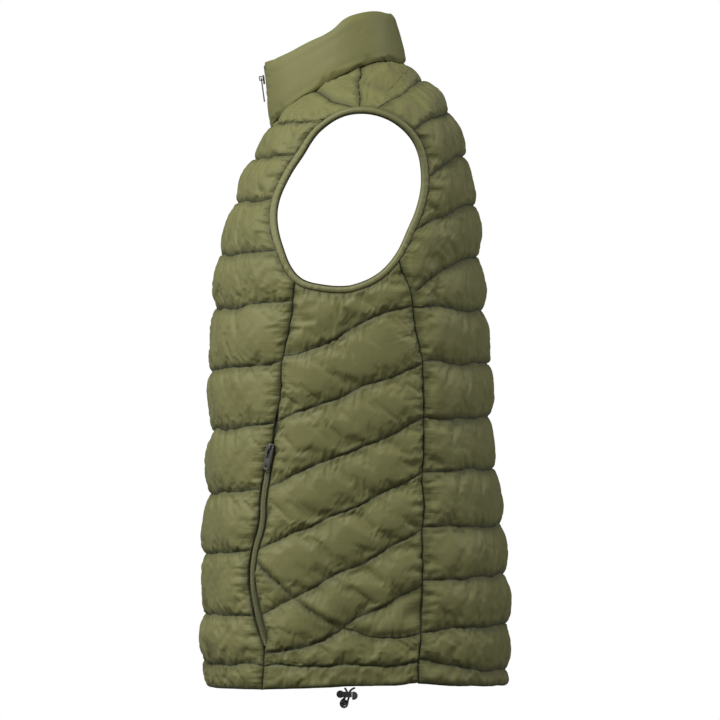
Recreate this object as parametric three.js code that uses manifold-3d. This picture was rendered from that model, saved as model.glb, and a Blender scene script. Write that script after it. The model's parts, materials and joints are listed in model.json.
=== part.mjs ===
// A men's sleeveless puffer vest, worn shape, hollow and open at neck, hem and armholes.
// Millimetres. +Z is up, the front faces -Y and the wearer's left is +X.
// The origin lies midway between the two shoulder seats, where the wearer carries the vest.

import * as THREE from 'three';
import { mergeVertices } from 'three/addons/utils/BufferGeometryUtils.js';
import Module from 'manifold-3d';

const wasm = await Module();
wasm.setup();

// Driving sizes

const WALL = 2.5;              // thickness of a panel along its stitch lines
const SEAM_GAP = 0.6;          // clear space between two sewn pieces
const ROUNDNESS = 2.5;         // exponent of the torso's rounded sections
const PUFF_HEIGHT = 6.6;       // rise of a full quilted channel above its stitch lines
const FULL_CHANNEL = 46;       // channel height that fills completely
const SEAM_PINCH = 20;         // distance from a seam over which a channel fills up
const ZIP_HALF = 5;            // half width of the centre-front zip
const POCKET_ZIP_HALF = 4.4;   // half width of a pocket zip
const BINDING_WIDTH = 7;       // width of the armhole binding
const SHOULDER_DEPTH = 0;      // place of the shoulder seams, front to back
const CORD_DIAMETER = 2.3;
const CURVE_ALLOWANCE = 1.55;  // extra clear space where a curved edge is cut in straight steps

// The torso in sections from the hem up: front and back at the stitch lines, and half the width
const SECTIONS = [
  { z: -680, front: -170, back: 165, half: 190 },
  { z: -648, front: -174.7, back: 162, half: 190 },
  { z: -591, front: -174.7, back: 162.5, half: 190 },
  { z: -524, front: -172.9, back: 159.5, half: 190.5 },
  { z: -459, front: -168.7, back: 152, half: 192 },
  { z: -389, front: -164.4, back: 145.5, half: 194 },
  { z: -320, front: -165, back: 143, half: 196.5 },
  { z: -248, front: -161, back: 137.5, half: 199 },
  { z: -187, front: -155.5, back: 131, half: 200 },
  { z: -129, front: -138.5, back: 126.5, half: 199.5 },
  { z: -79, front: -116.4, back: 115.5, half: 198.5 },
  { z: -42, front: -99.2, back: 104, half: 197 },
  { z: -16, front: -90, back: 94, half: 195 },
];

// The armhole's opening, seen from the side: radius from its middle, by angle from the top
// towards the front
const ARMHOLE_CENTRE = { y: -12, z: -121 };
const ARMHOLE = [
  { angle: -180, radius: 100 },
  { angle: -158, radius: 91.5 },
  { angle: -141, radius: 83.5 },
  { angle: -120, radius: 76 },
  { angle: -100, radius: 77.5 },
  { angle: -75, radius: 85.5 },
  { angle: -47, radius: 97 },
  { angle: -22, radius: 98.5 },
  { angle: 0, radius: 94 },
  { angle: 23, radius: 83 },
  { angle: 48, radius: 71.5 },
  { angle: 72, radius: 73 },
  { angle: 101, radius: 84.5 },
  { angle: 125, radius: 94 },
  { angle: 150, radius: 107 },
  { angle: 163, radius: 103.5 },
  { angle: 180, radius: 100 },
];

// Seams seen from the side, from the hem up
const FRONT_SEAM = [
  { z: -680, y: -110.5 },
  { z: -644, y: -108 },
  { z: -620, y: -108 },
  { z: -595, y: -114.3 },
  { z: -553, y: -121 },
  { z: -513, y: -116.7 },
  { z: -497, y: -112 },
  { z: -483, y: -109.6 },
  { z: -466, y: -109 },
  { z: -428, y: -103.5 },
  { z: -398, y: -98 },
  { z: -350, y: -90 },
  { z: -305, y: -86 },
  { z: -260, y: -79 },
  { z: -200, y: -71 },
];
const BACK_SEAM = [
  { z: -680, y: 67 },
  { z: -644, y: 64.5 },
  { z: -607, y: 68.5 },
  { z: -540, y: 70.5 },
  { z: -457, y: 71.5 },
  { z: -365, y: 71 },
  { z: -300, y: 67 },
  { z: -242, y: 59 },
  { z: -215, y: 50.5 },
  { z: -180, y: 40 },
];
const POCKET_TOP = -390;
const POCKET_FOOT = -634;
const POCKET_TAPER = 22;

// The neck seam, by depth: its height, and the same for the collar's upper edge
const NECK = { front: -99.4, back: 46, half: 84 };
const NECK_HEIGHTS = [
  { y: -99.4, z: -42.5 },
  { y: -91, z: -32.3 },
  { y: -78, z: -22.3 },
  { y: -62, z: -10.2 },
  { y: -49, z: -2 },
  { y: -35, z: 7.9 },
  { y: -17.4, z: 18 },
  { y: 0, z: 26 },
  { y: 18.6, z: 31.5 },
  { y: 46, z: 29.6 },
];
const COLLAR_TOP = { front: -107, back: 33, half: 73 };
const COLLAR_HEIGHTS = [
  { y: -107, z: 32.8 },
  { y: -85, z: 41 },
  { y: -63, z: 52.5 },
  { y: -35, z: 68 },
  { y: -13.6, z: 83 },
  { y: 2.3, z: 88 },
  { y: 17, z: 89.5 },
  { y: 33, z: 87.5 },
];

// Stitch lines as seen from the side: where each meets its panel's inner and outer border
const FRONT_ROWS = [
  { innerY: -170, innerZ: -675, outerY: -112, outerZ: -676 },
  { innerY: -175, innerZ: -648, outerY: -112, outerZ: -648.5 },
  { innerY: -175, innerZ: -592, outerY: -117, outerZ: -592 },
  { innerY: -173, innerZ: -523.6, outerY: -119, outerZ: -518.7 },
  { innerY: -168.5, innerZ: -456.5, outerY: -110, outerZ: -450 },
  { innerY: -164, innerZ: -387, outerY: -96, outerZ: -375 },
  { innerY: -162, innerZ: -319, outerY: -88, outerZ: -305.5 },
  { innerY: -161, innerZ: -248, outerY: -77, outerZ: -238 },
  { innerY: -155.5, innerZ: -187, outerY: -99, outerZ: -182 },
  { innerY: -137, innerZ: -127, outerY: -100, outerZ: -121 },
  { innerY: -116, innerZ: -78.5, outerY: -73, outerZ: -72 },
  { innerY: -99.2, innerZ: -42, outerY: -36, outerZ: -36.5 },
  { innerY: -49.5, innerZ: -2.3, outerY: -7, outerZ: -17 },
  { innerY: 0, innerZ: 26, outerY: 0, outerZ: -16.4 },
];
const BACK_ROWS = [
  { innerY: 165, innerZ: -673, outerY: 67, outerZ: -670 },
  { innerY: 163, innerZ: -655, outerY: 65, outerZ: -643 },
  { innerY: 164, innerZ: -603.5, outerY: 69, outerZ: -611 },
  { innerY: 163, innerZ: -547.6, outerY: 71, outerZ: -552 },
  { innerY: 157, innerZ: -491.5, outerY: 71, outerZ: -493 },
  { innerY: 150, innerZ: -427, outerY: 71, outerZ: -431 },
  { innerY: 147, innerZ: -369.8, outerY: 71, outerZ: -369 },
  { innerY: 144, innerZ: -308.5, outerY: 68, outerZ: -305 },
  { innerY: 139, innerZ: -248.6, outerY: 60, outerZ: -243 },
  { innerY: 133, innerZ: -187, outerY: 56, outerZ: -231 },
  { innerY: 127.5, innerZ: -129.5, outerY: 64.7, outerZ: -159.8 },
  { innerY: 115, innerZ: -73.5, outerY: 81.8, outerZ: -97.6 },
  { innerY: 99.4, innerZ: -26, outerY: 61.8, outerZ: -43 },
  { innerY: 70, innerZ: 12.4, outerY: 20.3, outerZ: -13.6 },
  { innerY: 46, innerZ: 29.6, outerY: 0, outerZ: 26 },
];
const SIDE_ROWS = [
  { innerY: -111, innerZ: -676, outerY: 67, outerZ: -669, bow: 0, sway: 0 },
  { innerY: -111, innerZ: -649, outerY: 65, outerZ: -646, bow: 0, sway: 0 },
  { innerY: -111, innerZ: -637, outerY: 66, outerZ: -612, bow: 0, sway: 0 },
  { innerY: -111, innerZ: -634, outerY: 69, outerZ: -557, bow: -9, sway: -4 },
  { innerY: -113, innerZ: -591, outerY: 70, outerZ: -497, bow: 0, sway: 0 },
  { innerY: -117, innerZ: -516, outerY: 70, outerZ: -431.5, bow: 0, sway: -1 },
  { innerY: -107, innerZ: -446, outerY: 71, outerZ: -369.5, bow: 0, sway: 2 },
  { innerY: -92, innerZ: -373.5, outerY: 67, outerZ: -308, bow: 0, sway: 1 },
  { innerY: -85, innerZ: -300.5, outerY: 60, outerZ: -242, bow: 0, sway: -3 },
];
const POCKET_ROW = 2;
const LEAST_CHANNEL = 3;

// The curved seam that holds the pocket bag, seen from the side
const POCKET_BAG_SEAM = [
  { y: -114, z: -531 },
  { y: -94, z: -553.7 },
  { y: -77, z: -569.7 },
  { y: -53, z: -584.8 },
  { y: -30, z: -598.9 },
  { y: -8, z: -607.4 },
  { y: 26, z: -614.9 },
  { y: 45, z: -615.5 },
  { y: 66, z: -612 },
];

// The drawcord's loop out of the left hem, in one upright plane
const CORD_X = 188.6;
const CORD_ROUTE = [
  { y: -17.4, z: -673.3 },
  { y: -16, z: -675.1 },
  { y: -14.9, z: -677.4 },
  { y: -15, z: -680.8 },
  { y: -16.9, z: -684.4 },
  { y: -20.2, z: -687.3 },
  { y: -21.9, z: -690.7 },
  { y: -20.9, z: -693.9 },
  { y: -18.1, z: -695.3 },
  { y: -15.3, z: -694 },
  { y: -14.1, z: -691 },
  { y: -13.6, z: -687.5 },
  { y: -12.6, z: -684 },
  { y: -12.2, z: -680.8 },
  { y: -11.5, z: -677.4 },
  { y: -8.8, z: -674.8 },
  { y: -5.6, z: -673.3 },
];

// Finishes

const finish = (color, roughness, metalness = 0) =>
  new THREE.MeshStandardMaterial({ color, roughness, metalness, side: THREE.DoubleSide });
const NYLON = () => finish(0x65643f, 0.5);
const NYLON_TRIM = () => finish(0x5b5b3a, 0.6);
const TAPE = () => finish(0x4f5034, 0.7);
const GUNMETAL = () => finish(0x4a4a48, 0.4, 0.8);
const CORD_BLACK = () => finish(0x17171a, 0.8);
const PLASTIC = () => finish(0x2c2d2f, 0.5);

// Small mathematics

const mix = (a, b, k) => a + (b - a) * k;
const clamp01 = (k) => Math.min(1, Math.max(0, k));
const smooth = (k) => clamp01(k) ** 2 * (3 - 2 * clamp01(k));
const radians = THREE.MathUtils.degToRad;
const vec = (x, y, z) => new THREE.Vector3(x, y, z);

// A smooth curve through a table: value of one column at a place in another
function columnCurve(table, at, of) {
  const knots = table.map((row) => row[at]);
  const values = table.map((row) => row[of]);
  const slope = (i) => (values[i + 1] - values[i]) / (knots[i + 1] - knots[i]);
  const last = knots.length - 1;
  const tangent = (i) => {
    if (i === 0) return slope(0);
    if (i === last) return slope(last - 1);
    const before = knots[i] - knots[i - 1];
    const after = knots[i + 1] - knots[i];
    return (slope(i - 1) * after + slope(i) * before) / (before + after);
  };
  return (place) => {
    let i = 0;
    while (i < last - 1 && place > knots[i + 1]) i += 1;
    const span = knots[i + 1] - knots[i];
    const k = (place - knots[i]) / span;
    if (k < 0) return values[i] + tangent(i) * (place - knots[i]);
    if (k > 1) return values[i + 1] + tangent(i + 1) * (place - knots[i + 1]);
    const rise = (2 * k ** 3 - 3 * k ** 2 + 1) * values[i] + (3 * k ** 2 - 2 * k ** 3) * values[i + 1];
    const lean = (k ** 3 - 2 * k ** 2 + k) * tangent(i) + (k ** 3 - k ** 2) * tangent(i + 1);
    return rise + lean * span;
  };
}

const frontAt = columnCurve(SECTIONS, 'z', 'front');
const backAt = columnCurve(SECTIONS, 'z', 'back');
const halfAt = columnCurve(SECTIONS, 'z', 'half');
const armholeRadius = columnCurve(ARMHOLE, 'angle', 'radius');
const frontSeamAt = columnCurve(FRONT_SEAM, 'z', 'y');
const backSeamAt = columnCurve(BACK_SEAM, 'z', 'y');
const bagSeamAt = columnCurve(POCKET_BAG_SEAM, 'y', 'z');
const neckHeight = columnCurve(NECK_HEIGHTS, 'y', 'z');
const collarHeight = columnCurve(COLLAR_HEIGHTS, 'y', 'z');

// The torso's left half: a point by its turn round the section, 0 in front and 180 degrees behind
function torsoByTurn(turn, z) {
  const middle = (frontAt(z) + backAt(z)) / 2;
  const depth = (backAt(z) - frontAt(z)) / 2;
  const across = Math.abs(Math.sin(turn)) ** (2 / ROUNDNESS);
  const along = Math.sign(Math.cos(turn)) * Math.abs(Math.cos(turn)) ** (2 / ROUNDNESS);
  return vec(halfAt(z) * across, middle - depth * along, z);
}

function turnAtDepth(y, z) {
  const middle = (frontAt(z) + backAt(z)) / 2;
  const depth = (backAt(z) - frontAt(z)) / 2;
  const along = Math.max(-1, Math.min(1, (middle - y) / depth));
  return Math.acos(Math.sign(along) * Math.abs(along) ** (ROUNDNESS / 2));
}

const turnAtWidth = (x, z) => Math.asin((x / halfAt(z)) ** (ROUNDNESS / 2));
const torsoAt = (y, z) => torsoByTurn(turnAtDepth(y, z), z);

function torsoNormal(y, z) {
  const turn = Math.min(Math.PI - 0.01, Math.max(0.01, turnAtDepth(y, z)));
  const round = torsoByTurn(turn + 0.004, z).sub(torsoByTurn(turn - 0.004, z));
  const up = torsoByTurn(turn, z + 1).sub(torsoByTurn(turn, z - 1));
  return round.cross(up).normalize();
}

// The armhole's edge, seen from the side and moved out by a margin
function armholeAt(angle, margin) {
  const wrapped = angle > 180 ? angle - 360 : angle;
  const reach = armholeRadius(wrapped) + margin;
  const y = ARMHOLE_CENTRE.y - reach * Math.sin(radians(wrapped));
  const z = ARMHOLE_CENTRE.z + reach * Math.cos(radians(wrapped));
  return torsoAt(y, z);
}

// Borders: a run of points with the outward direction of the cloth at each

const SEARCH_STEPS = 2400;   // places tried along a border

class Border {
  constructor(stations) {
    this.points = stations.map((s) => s.point);
    this.normals = stations.map((s) => s.normal);
    this.lengths = [0];
    for (let i = 1; i < this.points.length; i += 1) {
      this.lengths.push(this.lengths[i - 1] + this.points[i].distanceTo(this.points[i - 1]));
    }
  }

  segment(length) {
    let i = 0;
    while (i < this.lengths.length - 2 && length > this.lengths[i + 1]) i += 1;
    const span = this.lengths[i + 1] - this.lengths[i];
    return { i, k: clamp01((length - this.lengths[i]) / span) };
  }

  at(length) {
    const { i, k } = this.segment(length);
    return this.points[i].clone().lerp(this.points[i + 1], k);
  }

  normalAt(length) {
    const { i, k } = this.segment(length);
    return this.normals[i].clone().lerp(this.normals[i + 1], k).normalize();
  }

  // Place along the border that lies nearest to a point seen from the side
  locate(y, z) {
    let best = { miss: Infinity, length: 0 };
    const total = this.lengths[this.lengths.length - 1];
    for (let step = 0; step <= SEARCH_STEPS; step += 1) {
      const length = (total * step) / SEARCH_STEPS;
      const point = this.at(length);
      const miss = Math.hypot(point.y - y, point.z - z);
      if (miss < best.miss - 1e-9) best = { miss, length };
    }
    return best.length;
  }
}

const steps = (count) => Array.from({ length: count + 1 }, (_, i) => i / count);

const ARM_MARGIN = BINDING_WIDTH + SEAM_GAP + CURVE_ALLOWANCE;
const TIP_ANGLE = -6.6;

// Angle at which a seam runs into the armhole's edge
function cornerAngle(seamAt, low, high) {
  const beyond = (angle) => {
    const point = armholeAt(angle, ARM_MARGIN);
    return point.y > seamAt(point.z);
  };
  const lowSide = beyond(low);
  let [a, b] = [low, high];
  for (let round = 0; round < 40; round += 1) {
    const middle = (a + b) / 2;
    if (beyond(middle) === lowSide) a = middle;
    else b = middle;
  }
  return a;
}
const FRONT_CORNER = cornerAngle(frontSeamAt, 130, 165);
const BACK_CORNER = cornerAngle(backSeamAt, -125, -160);
const FRONT_CORNER_Z = armholeAt(FRONT_CORNER, ARM_MARGIN).z;
const BACK_CORNER_Z = armholeAt(BACK_CORNER, ARM_MARGIN).z;

// Half of the clear space at the front seam, opened for the pocket zip
function frontSeamHalfGap(z) {
  const below = smooth((POCKET_TOP - z) / POCKET_TAPER);
  const above = smooth((z - POCKET_FOOT) / POCKET_TAPER);
  return SEAM_GAP / 2 + (POCKET_ZIP_HALF + CURVE_ALLOWANCE) * Math.min(below, above);
}

const HEM_BELOW = -679;
const seamStation = (y, z) => ({ point: torsoAt(y, z), normal: torsoNormal(y, z) });
const armStation = (angle) => {
  const point = armholeAt(angle, ARM_MARGIN);
  const flat = torsoNormal(point.y, point.z);
  return { point, normal: vec(flat.x, flat.y, 0).normalize() };
};

// Neck seam on the left, from centre front (0) to centre back (180 degrees)
function ringPoint(ring, heights, turn) {
  const middle = (ring.front + ring.back) / 2;
  const depth = (ring.back - ring.front) / 2;
  const y = middle - depth * Math.cos(turn);
  return vec(ring.half * Math.sin(turn), y, heights(y));
}
const neckPoint = (turn) => ringPoint(NECK, neckHeight, turn);
const collarTopPoint = (turn) => ringPoint(COLLAR_TOP, collarHeight, turn);
const neckMiddle = (NECK.front + NECK.back) / 2;
const neckDepth = (NECK.back - NECK.front) / 2;
const SHOULDER_TURN = Math.acos((neckMiddle - SHOULDER_DEPTH) / neckDepth);
const ZIP_CLEARANCE = 0.5;
const NECK_START = Math.asin((ZIP_HALF + ZIP_CLEARANCE) / NECK.half);

const NECK_LEAN = { front: 10, shoulder: 66, back: 40 };   // degrees that the cloth faces up
function neckNormal(turn) {
  const lean = turn < SHOULDER_TURN
    ? mix(NECK_LEAN.front, NECK_LEAN.shoulder, turn / SHOULDER_TURN)
    : mix(NECK_LEAN.shoulder, NECK_LEAN.back,
      (turn - SHOULDER_TURN) / (Math.PI - SHOULDER_TURN));
  const flat = vec(Math.sin(turn), -Math.cos(turn), 0).normalize();
  return flat.multiplyScalar(Math.cos(radians(lean))).add(vec(0, 0, Math.sin(radians(lean))));
}

// Shoulder seam from the armhole (0) to the neck (1), on one side of the seam's gap
function shoulderStation(k, side) {
  const tip = armholeAt(TIP_ANGLE, ARM_MARGIN);
  const neck = neckPoint(SHOULDER_TURN);
  const point = tip.clone().lerp(neck, k);
  point.z += 3 * Math.sin(Math.PI * k);
  point.y += (side * SEAM_GAP) / 2;
  const ridge = vec(0.36, 0, 0.93);
  const normal = vec(1, 0, 0).lerp(ridge, smooth(k * 7)).normalize();
  return { point, normal };
}

const ZIP_EDGE = ZIP_HALF + SEAM_GAP;
const BACK_FULL_TOP = -26;     // height up to which the back follows the torso's sections
const NAPE_BOW = 4.5;          // outward curve of the centre back between there and the neck
const centreFront = (z) => ({
  point: torsoByTurn(turnAtWidth(ZIP_EDGE, z), z),
  normal: vec(0, -1, 0),
});
const centreBack = (z) => ({ point: vec(0, backAt(z), z), normal: vec(0, 1, 0) });

const frontInner = new Border([
  ...steps(60).map((k) => centreFront(mix(HEM_BELOW, -43.5, k))),
  ...steps(36).map((k) => {
    const turn = mix(NECK_START, SHOULDER_TURN, k);
    return { point: neckPoint(turn), normal: neckNormal(turn) };
  }),
]);
const frontOuter = new Border([
  ...steps(70).map((k) => {
    const z = mix(HEM_BELOW, FRONT_CORNER_Z, k);
    return seamStation(frontSeamAt(z) - frontSeamHalfGap(z), z);
  }),
  ...steps(60).slice(1).map((k) => armStation(mix(FRONT_CORNER, TIP_ANGLE + 0.1, k))),
]);
const backOuter = new Border([
  ...steps(70).map((k) => {
    const z = mix(HEM_BELOW, BACK_CORNER_Z, k);
    return seamStation(backSeamAt(z) + SEAM_GAP / 2, z);
  }),
  ...steps(50).slice(1).map((k) => armStation(mix(BACK_CORNER, TIP_ANGLE - 0.1, k))),
  ...steps(20).slice(1).map((k) => shoulderStation(k, 1)),
]);
const backInner = new Border([
  ...steps(60).map((k) => centreBack(mix(HEM_BELOW, BACK_FULL_TOP, k))),
  ...steps(20).slice(1).map((k) => {
    const foot = centreBack(BACK_FULL_TOP).point;
    const point = foot.lerp(neckPoint(Math.PI), k);
    const bow = NAPE_BOW * Math.sin(Math.PI * k);
    point.add(vec(0, bow, bow));
    return { point, normal: vec(0, mix(1, 0.75, k), mix(0, 0.66, k)).normalize() };
  }),
]);
const sideFront = new Border(steps(70).map((k) => {
  const z = mix(HEM_BELOW, FRONT_CORNER_Z - 1, k);
  return seamStation(frontSeamAt(z) + frontSeamHalfGap(z), z);
}));
const sideBack = new Border(steps(70).map((k) => {
  const z = mix(HEM_BELOW, BACK_CORNER_Z - 1, k);
  return seamStation(backSeamAt(z) - SEAM_GAP / 2, z);
}));

// Where a stitch row meets both borders, between the rows of its table
// A border's corner that falls inside a channel is put at the middle of that channel.
function rowEnds(rows, inner, outer, corners = []) {
  const marks = rows.map((row) => ({
    inner: inner.locate(row.innerY, row.innerZ),
    outer: outer.locate(row.outerY, row.outerZ),
  }));
  return (t) => {
    const i = Math.min(Math.floor(t), marks.length - 2);
    const k = t - i;
    const [low, high] = [marks[i].outer, marks[i + 1].outer];
    const corner = corners.find((length) => length > low + 1 && length < high - 1);
    const middle = corner ?? (low + high) / 2;
    return {
      inner: mix(marks[i].inner, marks[i + 1].inner, k),
      outer: k < 0.5 ? mix(low, middle, 2 * k) : mix(middle, high, 2 * k - 1),
    };
  };
}

// Surface of a front or back panel: full sections below, and above the last full row a sheet
// hung between the borders that keeps that row's bulge and trades it for the top edge's own
function wrapPanel({ rows, inner, outer, ends, droop, fullRow, innerTurn, topEdge }) {
  const sectionRow = (from, to, s) => {
    const turn = mix(innerTurn(from), turnAtDepth(to.y, to.z), s);
    return torsoByTurn(turn, mix(from.z, to.z, s ** droop));
  };
  const last = rows.length - 1;
  const fullEnds = ends(fullRow);
  const fullFrom = inner.at(fullEnds.inner);
  const fullTo = outer.at(fullEnds.outer);
  const topFrom = topEdge(0);
  const topTo = topEdge(1);
  return (s, t) => {
    const place = ends(t);
    const from = inner.at(place.inner);
    const to = outer.at(place.outer);
    if (t <= fullRow) return sectionRow(from, to, s);
    const k = (t - fullRow) / (last - fullRow);
    const bulge = sectionRow(fullFrom, fullTo, s).sub(fullFrom.clone().lerp(fullTo, s));
    const topBulge = topEdge(s).sub(topFrom.clone().lerp(topTo, s));
    const sheet = from.clone().lerp(to, s);
    return sheet.add(bulge.multiplyScalar(1 - k)).add(topBulge.multiplyScalar(k));
  };
}

const cornerLength = (border, angle) => {
  const point = armholeAt(angle, ARM_MARGIN);
  return border.locate(point.y, point.z);
};
const frontEnds = rowEnds(FRONT_ROWS, frontInner, frontOuter, [
  cornerLength(frontOuter, FRONT_CORNER),
]);
const backEnds = rowEnds(BACK_ROWS, backInner, backOuter, [
  cornerLength(backOuter, BACK_CORNER),
  cornerLength(backOuter, TIP_ANGLE),
]);

const frontSurface = wrapPanel({
  rows: FRONT_ROWS,
  inner: frontInner,
  outer: frontOuter,
  ends: frontEnds,
  droop: 1.3,
  fullRow: 11,
  innerTurn: (from) => turnAtWidth(from.x, from.z),
  topEdge: (s) => shoulderStation(1 - s, -1).point,
});
const backSurface = wrapPanel({
  rows: BACK_ROWS,
  inner: backInner,
  outer: backOuter,
  ends: backEnds,
  droop: 3,
  fullRow: 12,
  innerTurn: () => Math.PI,
  topEdge: (s) => neckPoint(mix(Math.PI, SHOULDER_TURN, s)),
});

// Surface of a side panel: slanted rows, the topmost along the armhole's lower edge
const sideEnds = rowEnds(
  [...SIDE_ROWS, {
    innerY: frontSeamAt(FRONT_CORNER_Z),
    innerZ: FRONT_CORNER_Z - 1,
    outerY: backSeamAt(BACK_CORNER_Z),
    outerZ: BACK_CORNER_Z - 1,
  }],
  sideFront,
  sideBack,
);

function armholeFoot(y) {
  let low = 110;
  let high = 250;
  for (let round = 0; round < 40; round += 1) {
    const angle = (low + high) / 2;
    if (armholeAt(angle, ARM_MARGIN).y < y) low = angle;
    else high = angle;
  }
  return armholeAt(low, ARM_MARGIN).z;
}

function sideLine(s, t) {
  const place = sideEnds(t);
  const from = sideFront.at(place.inner);
  const to = sideBack.at(place.outer);
  return { y: mix(from.y, to.y, s), z: mix(from.z, to.z, s) };
}

// How far a side row departs from the straight line between its ends. The pocket row follows
// the bag's seam where that lies below the next row.
function sideRowBend(row, s) {
  if (Math.sin(Math.PI * s) < 1e-6) return 0;
  const line = sideLine(s, row);
  if (row === SIDE_ROWS.length) return armholeFoot(line.y) - 0.2 - line.z;
  if (row === POCKET_ROW) {
    const next = sideLine(s, row + 1).z + sideRowBend(row + 1, s);
    return Math.min(bagSeamAt(line.y), next - LEAST_CHANNEL) - line.z;
  }
  const { bow, sway } = SIDE_ROWS[row];
  return bow * Math.sin(Math.PI * s) + sway * Math.sin(2 * Math.PI * s);
}

function sideSurface(s, t) {
  const line = sideLine(s, t);
  const row = Math.min(Math.floor(t), SIDE_ROWS.length - 1);
  const bend = mix(sideRowBend(row, s), sideRowBend(row + 1, s), t - row);
  return torsoAt(line.y, line.z + bend);
}

// Rise of the quilting above the stitch lines

function channelRise(surface, s, t, rowCount) {
  const row = Math.min(Math.floor(t), rowCount - 2);
  const height = surface(s, row).distanceTo(surface(s, row + 1));
  const fill = Math.min(1, height / FULL_CHANNEL) ** 0.8;
  const round = (1 - Math.abs(2 * (t - row) - 1) ** 2.2) ** 0.6;
  return PUFF_HEIGHT * fill * round;
}

const pinch = (distance, reach) => Math.sqrt(1 - (1 - clamp01(distance / reach)) ** 2);

function distanceToRun(table, point) {
  const spot = new THREE.Vector2(point.y, point.z);
  return table.slice(1).reduce((least, end, i) => {
    const a = new THREE.Vector2(table[i].y, table[i].z);
    const along = new THREE.Vector2(end.y, end.z).sub(a);
    const k = clamp01(spot.clone().sub(a).dot(along) / along.lengthSq());
    return Math.min(least, spot.distanceTo(a.addScaledVector(along, k)));
  }, Infinity);
}

// Closed wall from two grids of points that share their columns: the outer face in fine rows,
// the plain inner face in every second one

function gridWall(outer, innerFace) {
  const columns = outer[0].length;
  const positions = [...outer.flat(), ...innerFace.flat()];
  const index = [];
  const out = (r, c) => r * columns + c;
  const inn = (r, c) => (outer.length + r) * columns + c;
  const face = (a, b, c) => index.push(a, b, c);
  for (let r = 0; r < outer.length - 1; r += 1) {
    for (let c = 0; c < columns - 1; c += 1) {
      face(out(r, c), out(r, c + 1), out(r + 1, c + 1));
      face(out(r, c), out(r + 1, c + 1), out(r + 1, c));
    }
  }
  for (let r = 0; r < innerFace.length - 1; r += 1) {
    for (let c = 0; c < columns - 1; c += 1) {
      face(inn(r, c), inn(r + 1, c + 1), inn(r, c + 1));
      face(inn(r, c), inn(r + 1, c), inn(r + 1, c + 1));
    }
    const o = 2 * r;
    for (const [c, flip] of [[0, false], [columns - 1, true]]) {
      const rim = flip
        ? [[out(o, c), inn(r, c), out(o + 1, c)], [out(o + 1, c), inn(r, c), inn(r + 1, c)],
          [out(o + 1, c), inn(r + 1, c), out(o + 2, c)]]
        : [[out(o, c), out(o + 1, c), inn(r, c)], [out(o + 1, c), inn(r + 1, c), inn(r, c)],
          [out(o + 1, c), out(o + 2, c), inn(r + 1, c)]];
      rim.forEach((triangle) => face(...triangle));
    }
  }
  const top = outer.length - 1;
  const innerTop = innerFace.length - 1;
  for (let c = 0; c < columns - 1; c += 1) {
    face(out(0, c), inn(0, c + 1), out(0, c + 1));
    face(out(0, c), inn(0, c), inn(0, c + 1));
    face(out(top, c), out(top, c + 1), inn(innerTop, c + 1));
    face(out(top, c), inn(innerTop, c + 1), inn(innerTop, c));
  }
  return meshGeometry(positions, index);
}

function meshGeometry(points, index) {
  const geometry = new THREE.BufferGeometry();
  const flat = points.flatMap((p) => [p.x, p.y, p.z]);
  geometry.setAttribute('position', new THREE.Float32BufferAttribute(flat, 3));
  geometry.setIndex(index);
  return geometry;
}

const CHANNEL_STEPS = [0, 0.13, 0.5, 0.87];
const channelPlaces = (rowCount) => [
  ...steps(rowCount - 2).flatMap((_, row) => CHANNEL_STEPS.map((k) => row + k)),
  rowCount - 1,
];

function surfaceNormal(surface, s, t, lastRow) {
  const e = 0.01;
  const s0 = Math.max(0, s - e);
  const s1 = Math.min(1, s + e);
  const t0 = Math.max(0, t - e);
  const t1 = Math.min(lastRow, t + e);
  const across = surface(s1, t).sub(surface(s0, t));
  const up = surface(s, t1).sub(surface(s, t0));
  return across.cross(up).normalize();
}

// A quilted panel: s runs from its inner to its outer border, turned so that the cloth faces out
function quiltedPanel({ surface, rowCount, columns, edgeNormal, facing, rise }) {
  const last = rowCount - 1;
  const places = channelPlaces(rowCount);
  const layer = (offset, rowPlaces) => rowPlaces.map((t) => columns.map((s) => {
    const point = surface(s, t);
    const normal = edgeNormal(s, t) ?? surfaceNormal(surface, s, t, last).multiplyScalar(facing);
    return point.addScaledVector(normal, offset(s, t, point));
  }));
  const outer = layer(rise, places);
  const innerFace = layer(() => -WALL, places.filter((_, i) => i % 2 === 0));
  return { outer, innerFace };
}

const mirrored = (points) => points.map((p) => vec(-p.x, p.y, p.z));
const mirrorRows = (rows) => rows.map((row) => mirrored(row).reverse());

const HALF_COLUMNS = [0, 0.035, 0.13, 0.32, 0.5, 0.68, 0.87, 0.965, 1];
const rowLength = (surface, t) => surface(0, t).distanceTo(surface(0.5, t))
  + surface(0.5, t).distanceTo(surface(1, t));

function panelRise(surface, rowCount, pinchInner, fade = () => 1) {
  return (s, t, point) => {
    const length = rowLength(surface, t);
    const inner = pinchInner ? pinch(s * length, SEAM_PINCH) : 1;
    const outer = pinch((1 - s) * length, SEAM_PINCH);
    return channelRise(surface, s, t, rowCount) * inner * outer * fade(point);
  };
}

const frontLast = FRONT_ROWS.length - 1;
const backLast = BACK_ROWS.length - 1;

const frontPanel = quiltedPanel({
  surface: frontSurface,
  rowCount: FRONT_ROWS.length,
  columns: HALF_COLUMNS,
  facing: 1,
  edgeNormal: (s, t) => {
    if (s === 1) return frontOuter.normalAt(frontEnds(t).outer);
    if (t === frontLast) return shoulderStation(1 - s, -1).normal;
    if (s === 0) return frontInner.normalAt(frontEnds(t).inner);
    return null;
  },
  rise: panelRise(frontSurface, FRONT_ROWS.length, true),
});

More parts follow.
